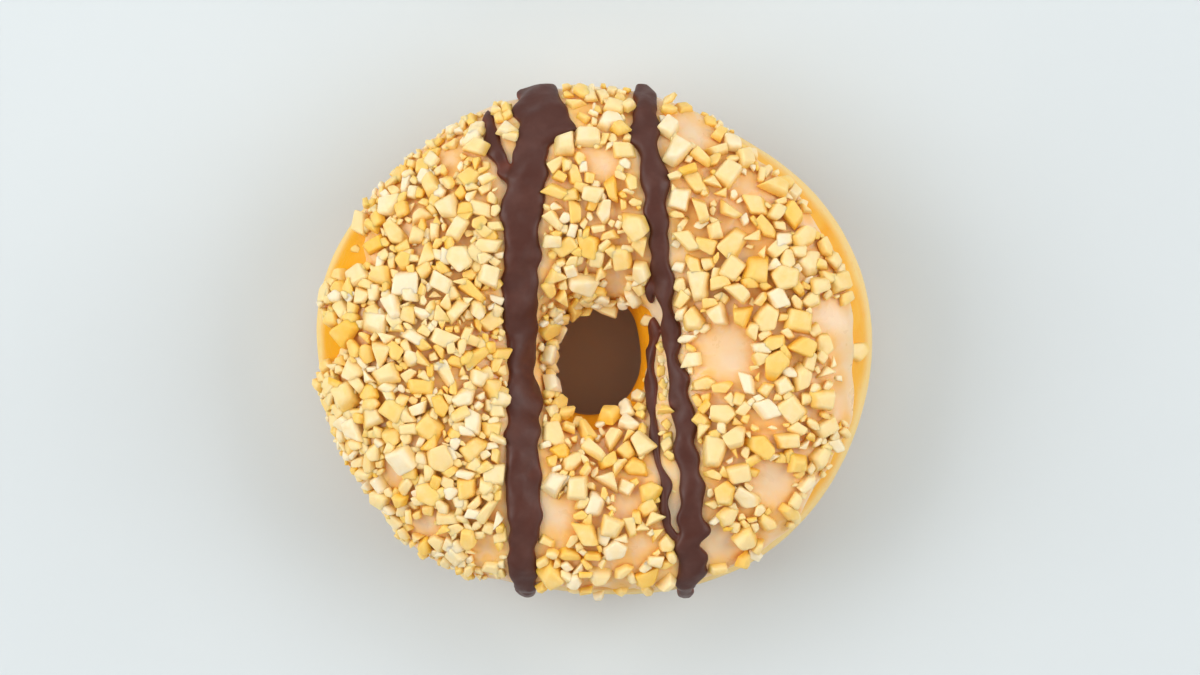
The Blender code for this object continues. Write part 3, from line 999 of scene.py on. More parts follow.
@dataclass(frozen=True)
class ChocolateFinish:
    """Set dark chocolate: soft gloss, redder where it thins out."""

    dark: Colour = linear(78, 39, 29)
    bloom: Colour = linear(92, 53, 43)
    thin: Colour = linear(112, 52, 34)
    clouds: Waves = Waves(190.0, 4.0, 0.6)
    cloud_span: Span = (0.4, 0.7)
    cloud_share: float = 0.7
    specular: float = 0.36
    gloss: Gloss = Gloss(Waves(450.0), (0.42, 0.58))
    dents: Relief = Relief(Waves(260.0), 0.0002, 0.5)
    grain: Relief = Relief(Waves(1100.0), 0.00003, 0.5)

    def material(self) -> bpy.types.Material:
        """Mixes the chocolate's colours, relief and gloss.

        Returns:
            The chocolate's material.
        """
        sheet = Sheet("dark_chocolate")
        cloud = sheet.span(sheet.noise(self.clouds), *self.cloud_span, 0.0, self.cloud_share)
        colour = sheet.mix(cloud, self.dark, self.bloom)
        colour = sheet.mix(sheet.attribute("thinness"), colour, self.thin)
        return sheet.finish(colour, self.gloss, (self.dents, self.grain), specular=self.specular)


@dataclass(frozen=True)
class FloorFinish:
    """The plain pale surface that the doughnut lies on."""

    colour: Colour = linear(212, 219, 221)
    clouds: Waves = Waves(9.0, 4.0)
    cloud_span: Span = (0.3, 0.7)
    lightening: float = 1.03
    roughness: float = 0.8

    def material(self) -> bpy.types.Material:
        """Mixes the floor's colour.

        Returns:
            The floor's material.
        """
        sheet = Sheet("pale_floor")
        light = tuple(min(1.0, level * self.lightening) for level in self.colour[:3]) + (1.0,)
        stops = zip(self.cloud_span, (self.colour, light))
        sheet.feed(sheet.shader.inputs["Base Color"], sheet.ramp(sheet.noise(self.clouds), *stops))
        sheet.feed(sheet.shader.inputs["Roughness"], self.roughness)
        return sheet.material


def dress(piece: bpy.types.Object, material: bpy.types.Material, node: Node) -> None:
    """Gives a finished piece its material and its body, and hides the solid that it stands for.

    Args:
        piece: The finished object, with its place in its mesh.
        material: Its finish.
        node: The solid that it replaces.
    """
    piece.data.materials.clear()
    piece.data.materials.append(material)
    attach(piece, "root")
    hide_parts(node.value)
    triangles = sum(len(face.vertices) - 2 for face in piece.data.polygons)
    LOG.info("%s: %d triangles, stands for %s", piece.name, triangles, node.value)


def inside_box(places: np.ndarray) -> np.ndarray:
    """Moves places in metres that lie outside the solid's box onto its sides."""
    low, high = (np.array(corner) for corner in CAD_BOX)
    return np.clip(places, low + BOX_INSET, high - BOX_INSET)


def mesh_piece(name: str, points: np.ndarray, faces: Sequence[Sequence[int]]) -> bpy.types.Object:
    """Makes a smooth-shaded object of points in millimetres, held inside the solid's box.

    Args:
        name: The piece's name.
        points: Its points, one a row.
        faces: The corners of each face.

    Returns:
        The new object, linked to the scene.
    """
    mesh = bpy.data.meshes.new(name)
    mesh.from_pydata(inside_box(points * MM).tolist(), [], faces)
    mesh.validate()
    mesh.shade_smooth()
    piece = bpy.data.objects.new(name, mesh)
    bpy.context.scene.collection.objects.link(piece)
    return piece


def point_places(mesh: bpy.types.Mesh) -> np.ndarray:
    """Reads a mesh's points.

    Args:
        mesh: The mesh.

    Returns:
        Their places in metres, one a row.
    """
    places = np.empty(len(mesh.vertices) * 3)
    mesh.vertices.foreach_get("co", places)
    return places.reshape(-1, 3)


def store_values(mesh: bpy.types.Mesh, name: str, values: np.ndarray, kind: str = "FLOAT") -> None:
    """Stores a named value at each point of a mesh.

    Args:
        mesh: The mesh.
        name: The attribute's name.
        values: One value or vector a point.
        kind: The attribute's type: FLOAT, INT or FLOAT_VECTOR.
    """
    attribute = mesh.attributes.new(name, kind, "POINT")
    numbers = values.ravel().astype(np.int32 if kind == "INT" else np.float32)
    attribute.data.foreach_set("vector" if kind == "FLOAT_VECTOR" else "value", numbers)


def loop_faces(rows: int, columns: int) -> list[tuple[int, int, int, int]]:
    """Lists the four-cornered faces of a grid that closes on itself both ways.

    Args:
        rows: Points one way.
        columns: Points the other way.

    Returns:
        The corners of each face.
    """
    faces = []
    for row in range(rows):
        below = (row + 1) % rows * columns
        here = row * columns
        for column in range(columns):
            beside = (column + 1) % columns
            faces.append((here + column, below + column, below + beside, here + beside))
    return faces


def outward(piece: bpy.types.Object) -> None:
    """Turns a closed piece's faces outward by the sign of its volume.

    Args:
        piece: The piece.
    """
    bm = bmesh.new()
    bm.from_mesh(piece.data)
    if bm.calc_volume(signed=True) < 0.0:
        bmesh.ops.reverse_faces(bm, faces=bm.faces)
    bm.to_mesh(piece.data)
    bm.free()


class Flow(Wiring):
    """A Geometry Nodes tree under construction, with sums on its fields."""

    def __init__(self, name: str) -> None:
        """Starts a tree with a geometry input and output.

        Args:
            name: The tree's name.
        """
        super().__init__(bpy.data.node_groups.new(name, "GeometryNodeTree"))
        for way in ("INPUT", "OUTPUT"):
            self.tree.interface.new_socket("Geometry", in_out=way, socket_type="NodeSocketGeometry")
        self.start = self.add("NodeGroupInput")
        self.end = self.add("NodeGroupOutput")
        self.values: dict[str, object] = {}

    def size(self, name: str, value: object, kind: str = "NodeSocketFloat") -> Socket:
        """Adds a named input to the tree.

        Args:
            name: The input's name.
            value: What the modifier gives it.
            kind: The socket's type.

        Returns:
            The socket that nodes read it from.
        """
        socket = self.tree.interface.new_socket(name, in_out="INPUT", socket_type=kind)
        self.values[socket.identifier] = value
        return self.start.outputs[name]

    def vector(self, x: Value, y: Value, z: Value) -> Socket:
        """A vector of three values or fields."""
        return self.add("ShaderNodeCombineXYZ", {"X": x, "Y": y, "Z": z}).outputs[0]

    def scaled(self, vector: Value, factor: Value) -> Socket:
        """A vector times a factor."""
        return self.add("ShaderNodeVectorMath", {0: vector, "Scale": factor}, operation="SCALE").outputs[0]

    def close(self, geometry: Socket, material: bpy.types.Material) -> None:
        """Ends the tree: instances become mesh and the material is set.

        Args:
            geometry: What the tree has made.
            material: Its finish.
        """
        real = self.add("GeometryNodeRealizeInstances", {"Geometry": geometry})
        dressed = self.add("GeometryNodeSetMaterial", {"Geometry": real.outputs[0], "Material": material})
        self.feed(self.end.inputs[0], dressed.outputs[0])

    def grow(self, host: bpy.types.Object, name: str) -> bpy.types.Object:
        """Runs the tree on an object and turns the result into a plain mesh.

        Args:
            host: The object that the modifier goes on, which is removed.
            name: The new object's name.

        Returns:
            The new object, linked to the scene.
        """
        modifier = host.modifiers.new(self.tree.name, "NODES")
        modifier.node_group = self.tree
        for identifier, value in self.values.items():
            modifier[identifier] = value
        bpy.context.view_layer.update()
        evaluated = host.evaluated_get(bpy.context.evaluated_depsgraph_get())
        mesh = bpy.data.meshes.new_from_object(evaluated)
        host.modifiers.remove(modifier)
        mesh.name = name
        piece = bpy.data.objects.new(name, mesh)
        bpy.context.scene.collection.objects.link(piece)
        bpy.data.objects.remove(host)
        return piece


@dataclass
class DoughRing:
    """The fried ring, grown by rule from its sizes, with its waist line and uneven skin."""

    form: RingForm
    steps: int = 420
    section_steps: int = 168
    sink: float = 0.12
    waist_groove: float = 0.35
    waist_groove_half: float = 1.3
    skin_relief: float = 0.32
    skin_scale: float = 75.0
    skin_detail: float = 2.0
    skin_level: float = 0.62
    wrinkle_relief: float = 0.10
    wrinkle_scale: float = 330.0
    wrinkle_detail: float = 3.0
    wrinkle_level: float = 0.60

    @staticmethod
    def squared(flow: Flow, value: Value) -> Socket:
        """A value times itself, as fields."""
        return flow.math("POWER", flow.math("ABSOLUTE", value), 2.0)

    @staticmethod
    def bell(flow: Flow, squared_away: Value) -> Socket:
        """A bell curve over a squared distance, as fields."""
        return flow.math("EXPONENT", flow.math("MULTIPLY", squared_away, -1.0))

    @staticmethod
    def powered(flow: Flow, value: Value, power: Value) -> Socket:
        """A value's size to a power with its sign kept, as fields."""
        size = flow.math("POWER", flow.math("ABSOLUTE", value), power)
        return flow.math("MULTIPLY", flow.math("SIGN", value), size)

    def bulges(self, flow: Flow, degrees: Value, rows: Rows) -> Value:
        """Adds up smooth bulges as fields, as the form does.

        Args:
            flow: The tree.
            degrees: Angles round the ring.
            rows: The angle, spread and height of each bulge.

        Returns:
            Their sum.
        """
        total: Value = 0.0
        for centre, spread, height in rows:
            turned = flow.math("ADD", flow.math("SUBTRACT", degrees, float(centre)), 540.0)
            away = flow.math("SUBTRACT", flow.math("MODULO", turned, 360.0), 180.0)
            bell = self.bell(flow, self.squared(flow, flow.math("DIVIDE", away, float(spread))))
            total = flow.math("MULTIPLY_ADD", bell, float(height), total)
        return total

    def oval(self, flow: Flow, direction: tuple[Socket, Socket], halves: tuple[Socket, Socket]) -> Socket:
        """Radius of an ellipse as fields.

        Args:
            flow: The tree.
            direction: Cosine and sine of the angle.
            halves: Half widths along x and y.

        Returns:
            The radius at each angle.
        """
        shares = [self.squared(flow, flow.math("DIVIDE", *pair)) for pair in zip(direction, halves)]
        return flow.math("INVERSE_SQRT", flow.math("ADD", *shares))

    def sweep(self, flow: Flow) -> tuple[Socket, Socket, Socket]:
        """Sweeps a circle round a circle.

        Args:
            flow: The tree.

        Returns:
            The mesh, and as fields the turns round the ring and round its section in radians.
        """
        loops = []
        for steps in (self.steps, self.section_steps):
            circle = flow.add("GeometryNodeCurvePrimitiveCircle", {"Resolution": steps, "Radius": 1.0})
            index = flow.add("GeometryNodeInputIndex").outputs[0]
            drawn = {"Geometry": circle.outputs[0]}
            capture = flow.add("GeometryNodeCaptureAttribute", drawn, domain="POINT")
            capture.capture_items.new("FLOAT", "Turn")
            flow.feed(capture.inputs[1], flow.math("MULTIPLY", index, 2.0 * math.pi / steps))
            loops.append(capture)
        curves = {"Curve": loops[0].outputs[0], "Profile Curve": loops[1].outputs[0]}
        swept = flow.add("GeometryNodeCurveToMesh", curves)
        turned = flow.add("GeometryNodeFlipFaces", {"Mesh": swept.outputs[0]})
        return turned.outputs[0], loops[0].outputs[1], loops[1].outputs[1]

    def shape(self, flow: Flow, sizes: dict[str, Socket]) -> Socket:
        """Bends the swept circles into the dough's form.

        Args:
            flow: The tree.
            sizes: Its named inputs.

        Returns:
            The mesh.
        """
        form = self.form
        swept, theta, phi = self.sweep(flow)
        degrees = flow.math("DEGREES", theta)
        direction = (flow.math("COSINE", theta), flow.math("SINE", theta))
        outer_oval = self.oval(flow, direction, (sizes["Half width X"], sizes["Half width Y"]))
        outer = flow.math("ADD", outer_oval, self.bulges(flow, degrees, form.lumps))
        inner_oval = self.oval(flow, direction, (sizes["Hole half width X"], sizes["Hole half width Y"]))
        inner = flow.math("ADD", inner_oval, self.bulges(flow, degrees, form.hole_lumps))
        across = self.powered(flow, flow.math("COSINE", phi), sizes["Section power"])
        upward = self.powered(flow, flow.math("SINE", phi), sizes["Section power"])
        crown = flow.math("ADD", sizes["Crown rise"], self.bulges(flow, degrees, form.crown_lumps))
        above = flow.math("GREATER_THAN", upward, 0.0)
        below = flow.math("SUBTRACT", 1.0, above)
        drop = flow.math("MULTIPLY", sizes["Belly drop"], below)
        rise = flow.math("MULTIPLY_ADD", crown, above, drop)
        outside = flow.math("MULTIPLY_ADD", across, 0.5, 0.5)
        inside = flow.math("SUBTRACT", 1.0, outside)
        places = []
        for part, centre in zip(direction, form.hole_centre):
            rim = flow.math("MULTIPLY", part, outer)
            throat = flow.math("MULTIPLY_ADD", part, inner, centre)
            throat_share = flow.math("MULTIPLY", throat, inside)
            places.append(flow.math("MULTIPLY_ADD", rim, outside, throat_share))
        places.append(flow.math("MULTIPLY_ADD", rise, upward, sizes["Waist height"]))
        placed = flow.scaled(flow.vector(*places), MM)
        return flow.add("GeometryNodeSetPosition", {"Geometry": swept, "Position": placed}).outputs[0]

    def relieve(self, flow: Flow, shaped: Socket, sizes: dict[str, Socket]) -> Socket:
        """Gives the dough its groove at the waist, its uneven skin and its wrinkles.

        Args:
            flow: The tree.
            shaped: The smooth mesh.
            sizes: The tree's named inputs.

        Returns:
            The mesh, with nothing below the floor.
        """
        place = flow.add("GeometryNodeInputPosition").outputs[0]
        height = flow.add("ShaderNodeSeparateXYZ", {0: place}).outputs["Z"]
        off_waist = flow.math("SUBTRACT", height, self.form.waist_height * MM)
        off_waist = flow.math("DIVIDE", off_waist, self.waist_groove_half * MM)
        dip = flow.math("MULTIPLY", self.bell(flow, self.squared(flow, off_waist)), sizes["Waist groove"])
        for name, scale, detail, level in (
            ("Skin relief", self.skin_scale, self.skin_detail, self.skin_level),
            ("Wrinkle relief", self.wrinkle_scale, self.wrinkle_detail, self.wrinkle_level),
        ):
            noise = flow.add("ShaderNodeTexNoise", {"Vector": place, "Scale": scale, "Detail": detail})
            dip = flow.math("MULTIPLY_ADD", flow.math("SUBTRACT", level, noise.outputs[0]), sizes[name], dip)
        dip = flow.math("MULTIPLY", flow.math("ADD", dip, self.sink), -MM)
        offset = flow.scaled(flow.add("GeometryNodeInputNormal").outputs[0], dip)
        relieved = flow.add("GeometryNodeSetPosition", {"Geometry": shaped, "Offset": offset})
        final = flow.add("ShaderNodeSeparateXYZ", {0: place})
        level = flow.math("MAXIMUM", final.outputs["Z"], 0.0)
        held = flow.vector(final.outputs["X"], final.outputs["Y"], level)
        rested = flow.add("GeometryNodeSetPosition", {"Geometry": relieved.outputs[0], "Position": held})
        return rested.outputs[0]

    def tree(self, material: bpy.types.Material) -> Flow:
        """The tree that grows the dough, with its sizes as named inputs.

        Args:
            material: The dough's finish.

        Returns:
            The finished tree.
        """
        form = self.form
        flow = Flow("dough_by_rule")
        values = {
            "Half width X": form.half_x,
            "Half width Y": form.half_y,
            "Hole half width X": form.hole_half_x,
            "Hole half width Y": form.hole_half_y,
            "Waist height": form.waist_height,
            "Crown rise": form.crown_rise,
            "Belly drop": form.belly_drop,
            "Section power": 2.0 / form.power,
            "Waist groove": self.waist_groove,
            "Skin relief": self.skin_relief,
            "Wrinkle relief": self.wrinkle_relief,
        }
        sizes = {name: flow.size(name, value) for name, value in values.items()}
        flow.close(self.relieve(flow, self.shape(flow, sizes), sizes), material)
        return flow

    def build(self, finish: CrustFinish) -> bpy.types.Object:
        """Grows the ring and turns its faces outward.

        Args:
            finish: The dough's finish.

        Returns:
            The finished piece.
        """
        material = finish.material()
        host = mesh_piece("dough_host", np.zeros((1, 3)), [])
        piece = self.tree(material).grow(host, "fried_dough")
        outward(piece)
        piece.data.shade_smooth()
        dress(piece, material, Node.DOUGH)
        return piece


@dataclass
class IcingCoat:
    """The icing: a thin closed shell with a beaded edge that swells round the almonds."""

    form: IcingForm
    sites: list[Site]
    steps: int = 540
    top_steps: int = 110
    under_steps: int = 14
    under_lift: float = -0.25
    edge_lift: float = -0.05
    edge_wander: float = 0.9
    wander_length: float = 5.0
    wander_seed: int = 7
    bead_squareness: int = 16
    bead_power: float = 0.42
    pool: float = 0.11
    pool_length: float = 11.0
    pool_seed: int = 8
    swell: float = 0.42
    swell_reach: float = 1.5
    swell_level: float = 0.35
    almond_reach: float = 0.36
    thinnest: float = 0.35

    def nearness(self, points: np.ndarray) -> np.ndarray:
        """Works out how near almonds are.

        Args:
            points: Places, one a row.

        Returns:
            How near each lies to an almond, from 0 to 1.
        """
        tree = KDTree(len(self.sites))
        for index, site in enumerate(self.sites):
            tree.insert(site.point, index)
        tree.balance()
        found = np.zeros(len(points))
        for index, point in enumerate(points):
            _, nearest, distance = tree.find(point)
            edge = max(distance - self.almond_reach * self.sites[nearest].size, 0.0)
            found[index] = math.exp(-((edge / self.swell_reach) ** 2))
        return found

    def edges(self, turns: np.ndarray) -> tuple[np.ndarray, np.ndarray]:
        """Lets the form's edges wander a little.

        Args:
            turns: Angles round the ring.

        Returns:
            The section angles of the outer and the inner edge.
        """
        wander = WaveField(self.wander_seed, self.wander_length)
        outer, inner = (
            edge + self.edge_wander * wander.at(self.form.ring.surface(turns, edge)[0])
            for edge in self.form.edges(turns)
        )
        return outer, inner

    def top(
        self, around: np.ndarray, section: np.ndarray, spread: np.ndarray
    ) -> tuple[np.ndarray, np.ndarray]:
        """Shapes the icing's top.

        Args:
            around: Angles round the ring.
            section: Angles round the section.
            spread: Places between the edges, from -1 to 1.

        Returns:
            The points, and how near each lies to an almond.
        """
        ring = self.form.ring
        bare, _ = ring.surface(around, section)
        near = self.nearness(bare.reshape(-1, 3)).reshape(around.shape)
        crest = np.maximum(1.0 - np.abs(spread) ** self.bead_squareness, 0.0) ** self.bead_power
        pools = self.pool * WaveField(self.pool_seed, self.pool_length).at(bare)
        lift = self.form.thickness + pools + self.swell * (near - self.swell_level)
        lift = crest * np.maximum(lift, self.thinnest) + self.edge_lift * (1.0 - crest)
        return ring.surface(around, section, lift)[0], near

    def build(self, finish: IcingFinish) -> bpy.types.Object:
        """Lofts the shell from its top and its underside.

        Args:
            finish: The icing's finish.

        Returns:
            The finished piece.
        """
        turns = np.arange(self.steps) * 360.0 / self.steps
        outer, inner = self.edges(turns)
        middle, half = (outer + inner)[:, None] / 2.0, (inner - outer)[:, None] / 2.0
        step = np.linspace(-1.0, 1.0, self.top_steps)
        around, spread = np.meshgrid(turns, step * (1.5 - 0.5 * step * step), indexing="ij")
        top, near = self.top(around, middle + spread * half, spread)
        back = np.linspace(1.0, -1.0, self.under_steps + 2)[1:-1]
        around, spread = np.meshgrid(turns, back, indexing="ij")
        lift = np.full_like(around, self.under_lift)
        under, _ = self.form.ring.surface(around, middle + spread * half, lift)
        points = np.concatenate([top, under], 1)
        faces = [face[::-1] for face in loop_faces(*points.shape[:2])]
        piece = mesh_piece("pale_icing", points.reshape(-1, 3), faces)
        # nearness drives the painted warm shade of the icing beside the almonds.
        store_values(piece.data, "nearness", np.concatenate([near, np.zeros_like(around)], 1))
        outward(piece)
        dress(piece, finish.material(), Node.ICING)
        return piece


@dataclass
class AlmondPieces:
    """The chopped almonds: a few cut shapes, set on their sites by Geometry Nodes."""

    layout: AlmondLayout
    sides: tuple[int, ...] = (4, 5, 4, 4, 3, 4, 5, 4)
    side_turn: Span = (-0.2, 0.2)
    side_lean: Span = (-0.05, 0.4)
    side_away: Span = (0.36, 0.5)
    top_tilt: float = 0.3
    base_tilt: float = 0.15
    half_height: float = 0.4
    chamfer: float = 0.09
    large_shapes: int = 12
    small_shapes: int = 30
    width: Span = (0.48, 0.46)
    thickness: Span = (0.34, 0.28)
    thinnest: Span = (0.55, 0.1)
    sink: float = 0.4
    standing_draw: float = 0.9
    standing_limit: float = 3.2
    standing_tip: Span = (40.0, 45.0)
    lying_tip: float = 24.0
    tint_draws: Span = (2.2, 2.6)
    tint_seed: int = 941

    def planes(self, index: int) -> list[tuple[Vector, float]]:
        """Draws the cuts of a shape: its sides, most of them leaning in, its slanting top and its base.

        Args:
            index: The shape's number.

        Returns:
            The direction of each cut and how far out it lies.
        """
        random = np.random.default_rng(self.layout.seed + 1 + index)
        count = self.sides[index % len(self.sides)]
        planes = []
        for side in range(count):
            turn = 2.0 * np.pi * (side + random.uniform(*self.side_turn)) / count
            lean = random.uniform(*self.side_lean)
            normal = Vector((np.cos(lean) * np.cos(turn), np.cos(lean) * np.sin(turn), np.sin(lean)))
            planes.append((normal, random.uniform(*self.side_away)))
        for tilt, way in ((self.top_tilt, 1.0), (self.base_tilt, -1.0)):
            planes.append((Vector((*random.uniform(-tilt, tilt, 2), way)), self.half_height))
        return planes

    def chip(self, index: int) -> bpy.types.Object:
        """Cuts a shape 1 unit each way, with flat faces and softened edges.

        Args:
            index: The shape's number.

        Returns:
            The shape, with its points' level from 0 at the foot to 1 on top.
        """
        bm = bmesh.new()
        bmesh.ops.create_cube(bm, size=4.0)
        for normal, away in self.planes(index):
            everything = bm.verts[:] + bm.edges[:] + bm.faces[:]
            bmesh.ops.bisect_plane(
                bm, geom=everything, plane_co=normal * away, plane_no=normal, clear_outer=True
            )
            bmesh.ops.holes_fill(bm, edges=bm.edges)
        corners = np.array([vertex.co for vertex in bm.verts])
        low, high = corners.min(0), corners.max(0)
        for vertex, corner in zip(bm.verts, (corners - (low + high) / 2.0) / (high - low)):
            vertex.co = corner
        bmesh.ops.recalc_face_normals(bm, faces=bm.faces)
        bmesh.ops.bevel(
            bm,
            geom=bm.edges[:],
            offset=self.chamfer,
            segments=2 if index < self.large_shapes else 1,
            affect="EDGES",
            profile=0.5,
            clamp_overlap=True,
        )
        bmesh.ops.recalc_face_normals(bm, faces=bm.faces)
        mesh = bpy.data.meshes.new(f"chip_{index:02d}")
        bm.to_mesh(mesh)
        bm.free()
        # The level drives the almonds' painted shade, golden at the foot and lighter on top.
        store_values(mesh, "level", point_places(mesh)[:, 2] + 0.5)
        mesh.shade_smooth()
        return bpy.data.objects.new(mesh.name, mesh)

    def placing(self, site: Site) -> tuple[Vector, Vector, Vector]:
        """Lays a piece on its site.

        Args:
            site: The site.

        Returns:
            Its place in millimetres, its turn as three angles and its stretch.
        """
        draws = site.draws
        width = site.size * (self.width[0] + self.width[1] * draws.width)
        thickness = site.size * (self.thickness[0] + self.thickness[1] * draws.thickness)
        thickness = max(thickness, self.thinnest[0] + self.thinnest[1] * site.size)
        tip = self.lying_tip * (draws.tip - 0.5)
        if draws.stance > self.standing_draw and site.size < self.standing_limit:
            tip = self.standing_tip[0] + self.standing_tip[1] * draws.tip
        tip = math.radians(tip)
        upright = Vector(site.normal)
        lying = upright.to_track_quat("Z", "Y").to_matrix()
        turn = Matrix.Rotation(2.0 * math.pi * draws.turn, 3, "Z") @ Matrix.Rotation(tip, 3, "X")
        height = abs(math.cos(tip)) * thickness + abs(math.sin(tip)) * width
        place = Vector(site.point) + upright * (0.5 * height - self.sink + site.raised)
        angles = (lying @ turn).to_euler("XYZ")
        return place, Vector(angles), Vector((site.size, width, thickness))

    def tree(self, chips: bpy.types.Collection, material: bpy.types.Material) -> Flow:
        """The tree that sets a cut shape on each point.

        Args:
            chips: The cut shapes.
            material: The almonds' finish.

        Returns:
            The finished tree.
        """
        flow = Flow("almonds_on_sites")
        shapes = flow.size("Cut shapes", chips, "NodeSocketCollection")
        scale = flow.size("Metres in a millimetre", MM)
        settings = {"Separate Children": True, "Reset Children": True}
        picked = flow.add("GeometryNodeCollectionInfo", {"Collection": shapes, **settings})
        named = {}
        for name, kind in (("turn", "FLOAT_VECTOR"), ("stretch", "FLOAT_VECTOR"), ("shape", "INT")):
            reader = flow.add("GeometryNodeInputNamedAttribute", {"Name": name}, data_type=kind)
            named[name] = reader.outputs[0]
        inputs = {
            "Points": flow.add("GeometryNodeMeshToPoints", {"Mesh": flow.start.outputs[0]}).outputs[0],
            "Instance": picked.outputs[0],
            "Pick Instance": True,
            "Instance Index": named["shape"],
            "Rotation": named["turn"],
            "Scale": flow.scaled(named["stretch"], scale),
        }
        flow.close(flow.add("GeometryNodeInstanceOnPoints", inputs).outputs[0], material)
        return flow

    def host(self, name: str, sites: list[Site]) -> bpy.types.Object:
        """Makes the points that the pieces are set on.

        Args:
            name: The host's name.
            sites: Where the almonds lie.

        Returns:
            The host, with the turn, stretch, shape and tint of each piece.
        """
        placings = [self.placing(site) for site in sites]
        places = np.array([placing[0] for placing in placings])
        host = mesh_piece(name, places, [])
        host.data.vertices.foreach_set("co", (places * MM).ravel())
        for label, column in (("turn", 1), ("stretch", 2)):
            values = np.array([placing[column] for placing in placings])
            store_values(host.data, label, values, "FLOAT_VECTOR")
        draws = np.array([site.draws.shape for site in sites])
        large = np.arange(len(sites)) < self.layout.solid_count
        shape = np.where(large, draws * self.large_shapes, self.large_shapes + draws * self.small_shapes)
        store_values(host.data, "shape", shape, "INT")
        random = np.random.default_rng(self.tint_seed)
        store_values(host.data, "tint", random.beta(*self.tint_draws, len(sites)))
        return host

    def build(self, name: str, sites: list[Site], finish: AlmondFinish, node: Node) -> bpy.types.Object:
        """Sets the cut shapes on the sites.

        Args:
            name: The piece's name.
            sites: Where the almonds lie.
            finish: Their finish.
            node: The solid that they belong to.

        Returns:
            The finished piece.
        """
        chips = bpy.data.collections.new(f"{name}_shapes")
        for index in range(self.large_shapes + self.small_shapes):
            chips.objects.link(self.chip(index))
        material = finish.material()
        piece = self.tree(chips, material).grow(self.host(f"{name}_host", sites), name)
        for chip in list(chips.objects):
            bpy.data.objects.remove(chip)
        bpy.data.collections.remove(chips)
        piece.data.vertices.foreach_set("co", inside_box(point_places(piece.data)).ravel())
        dress(piece, material, node)
        return piece


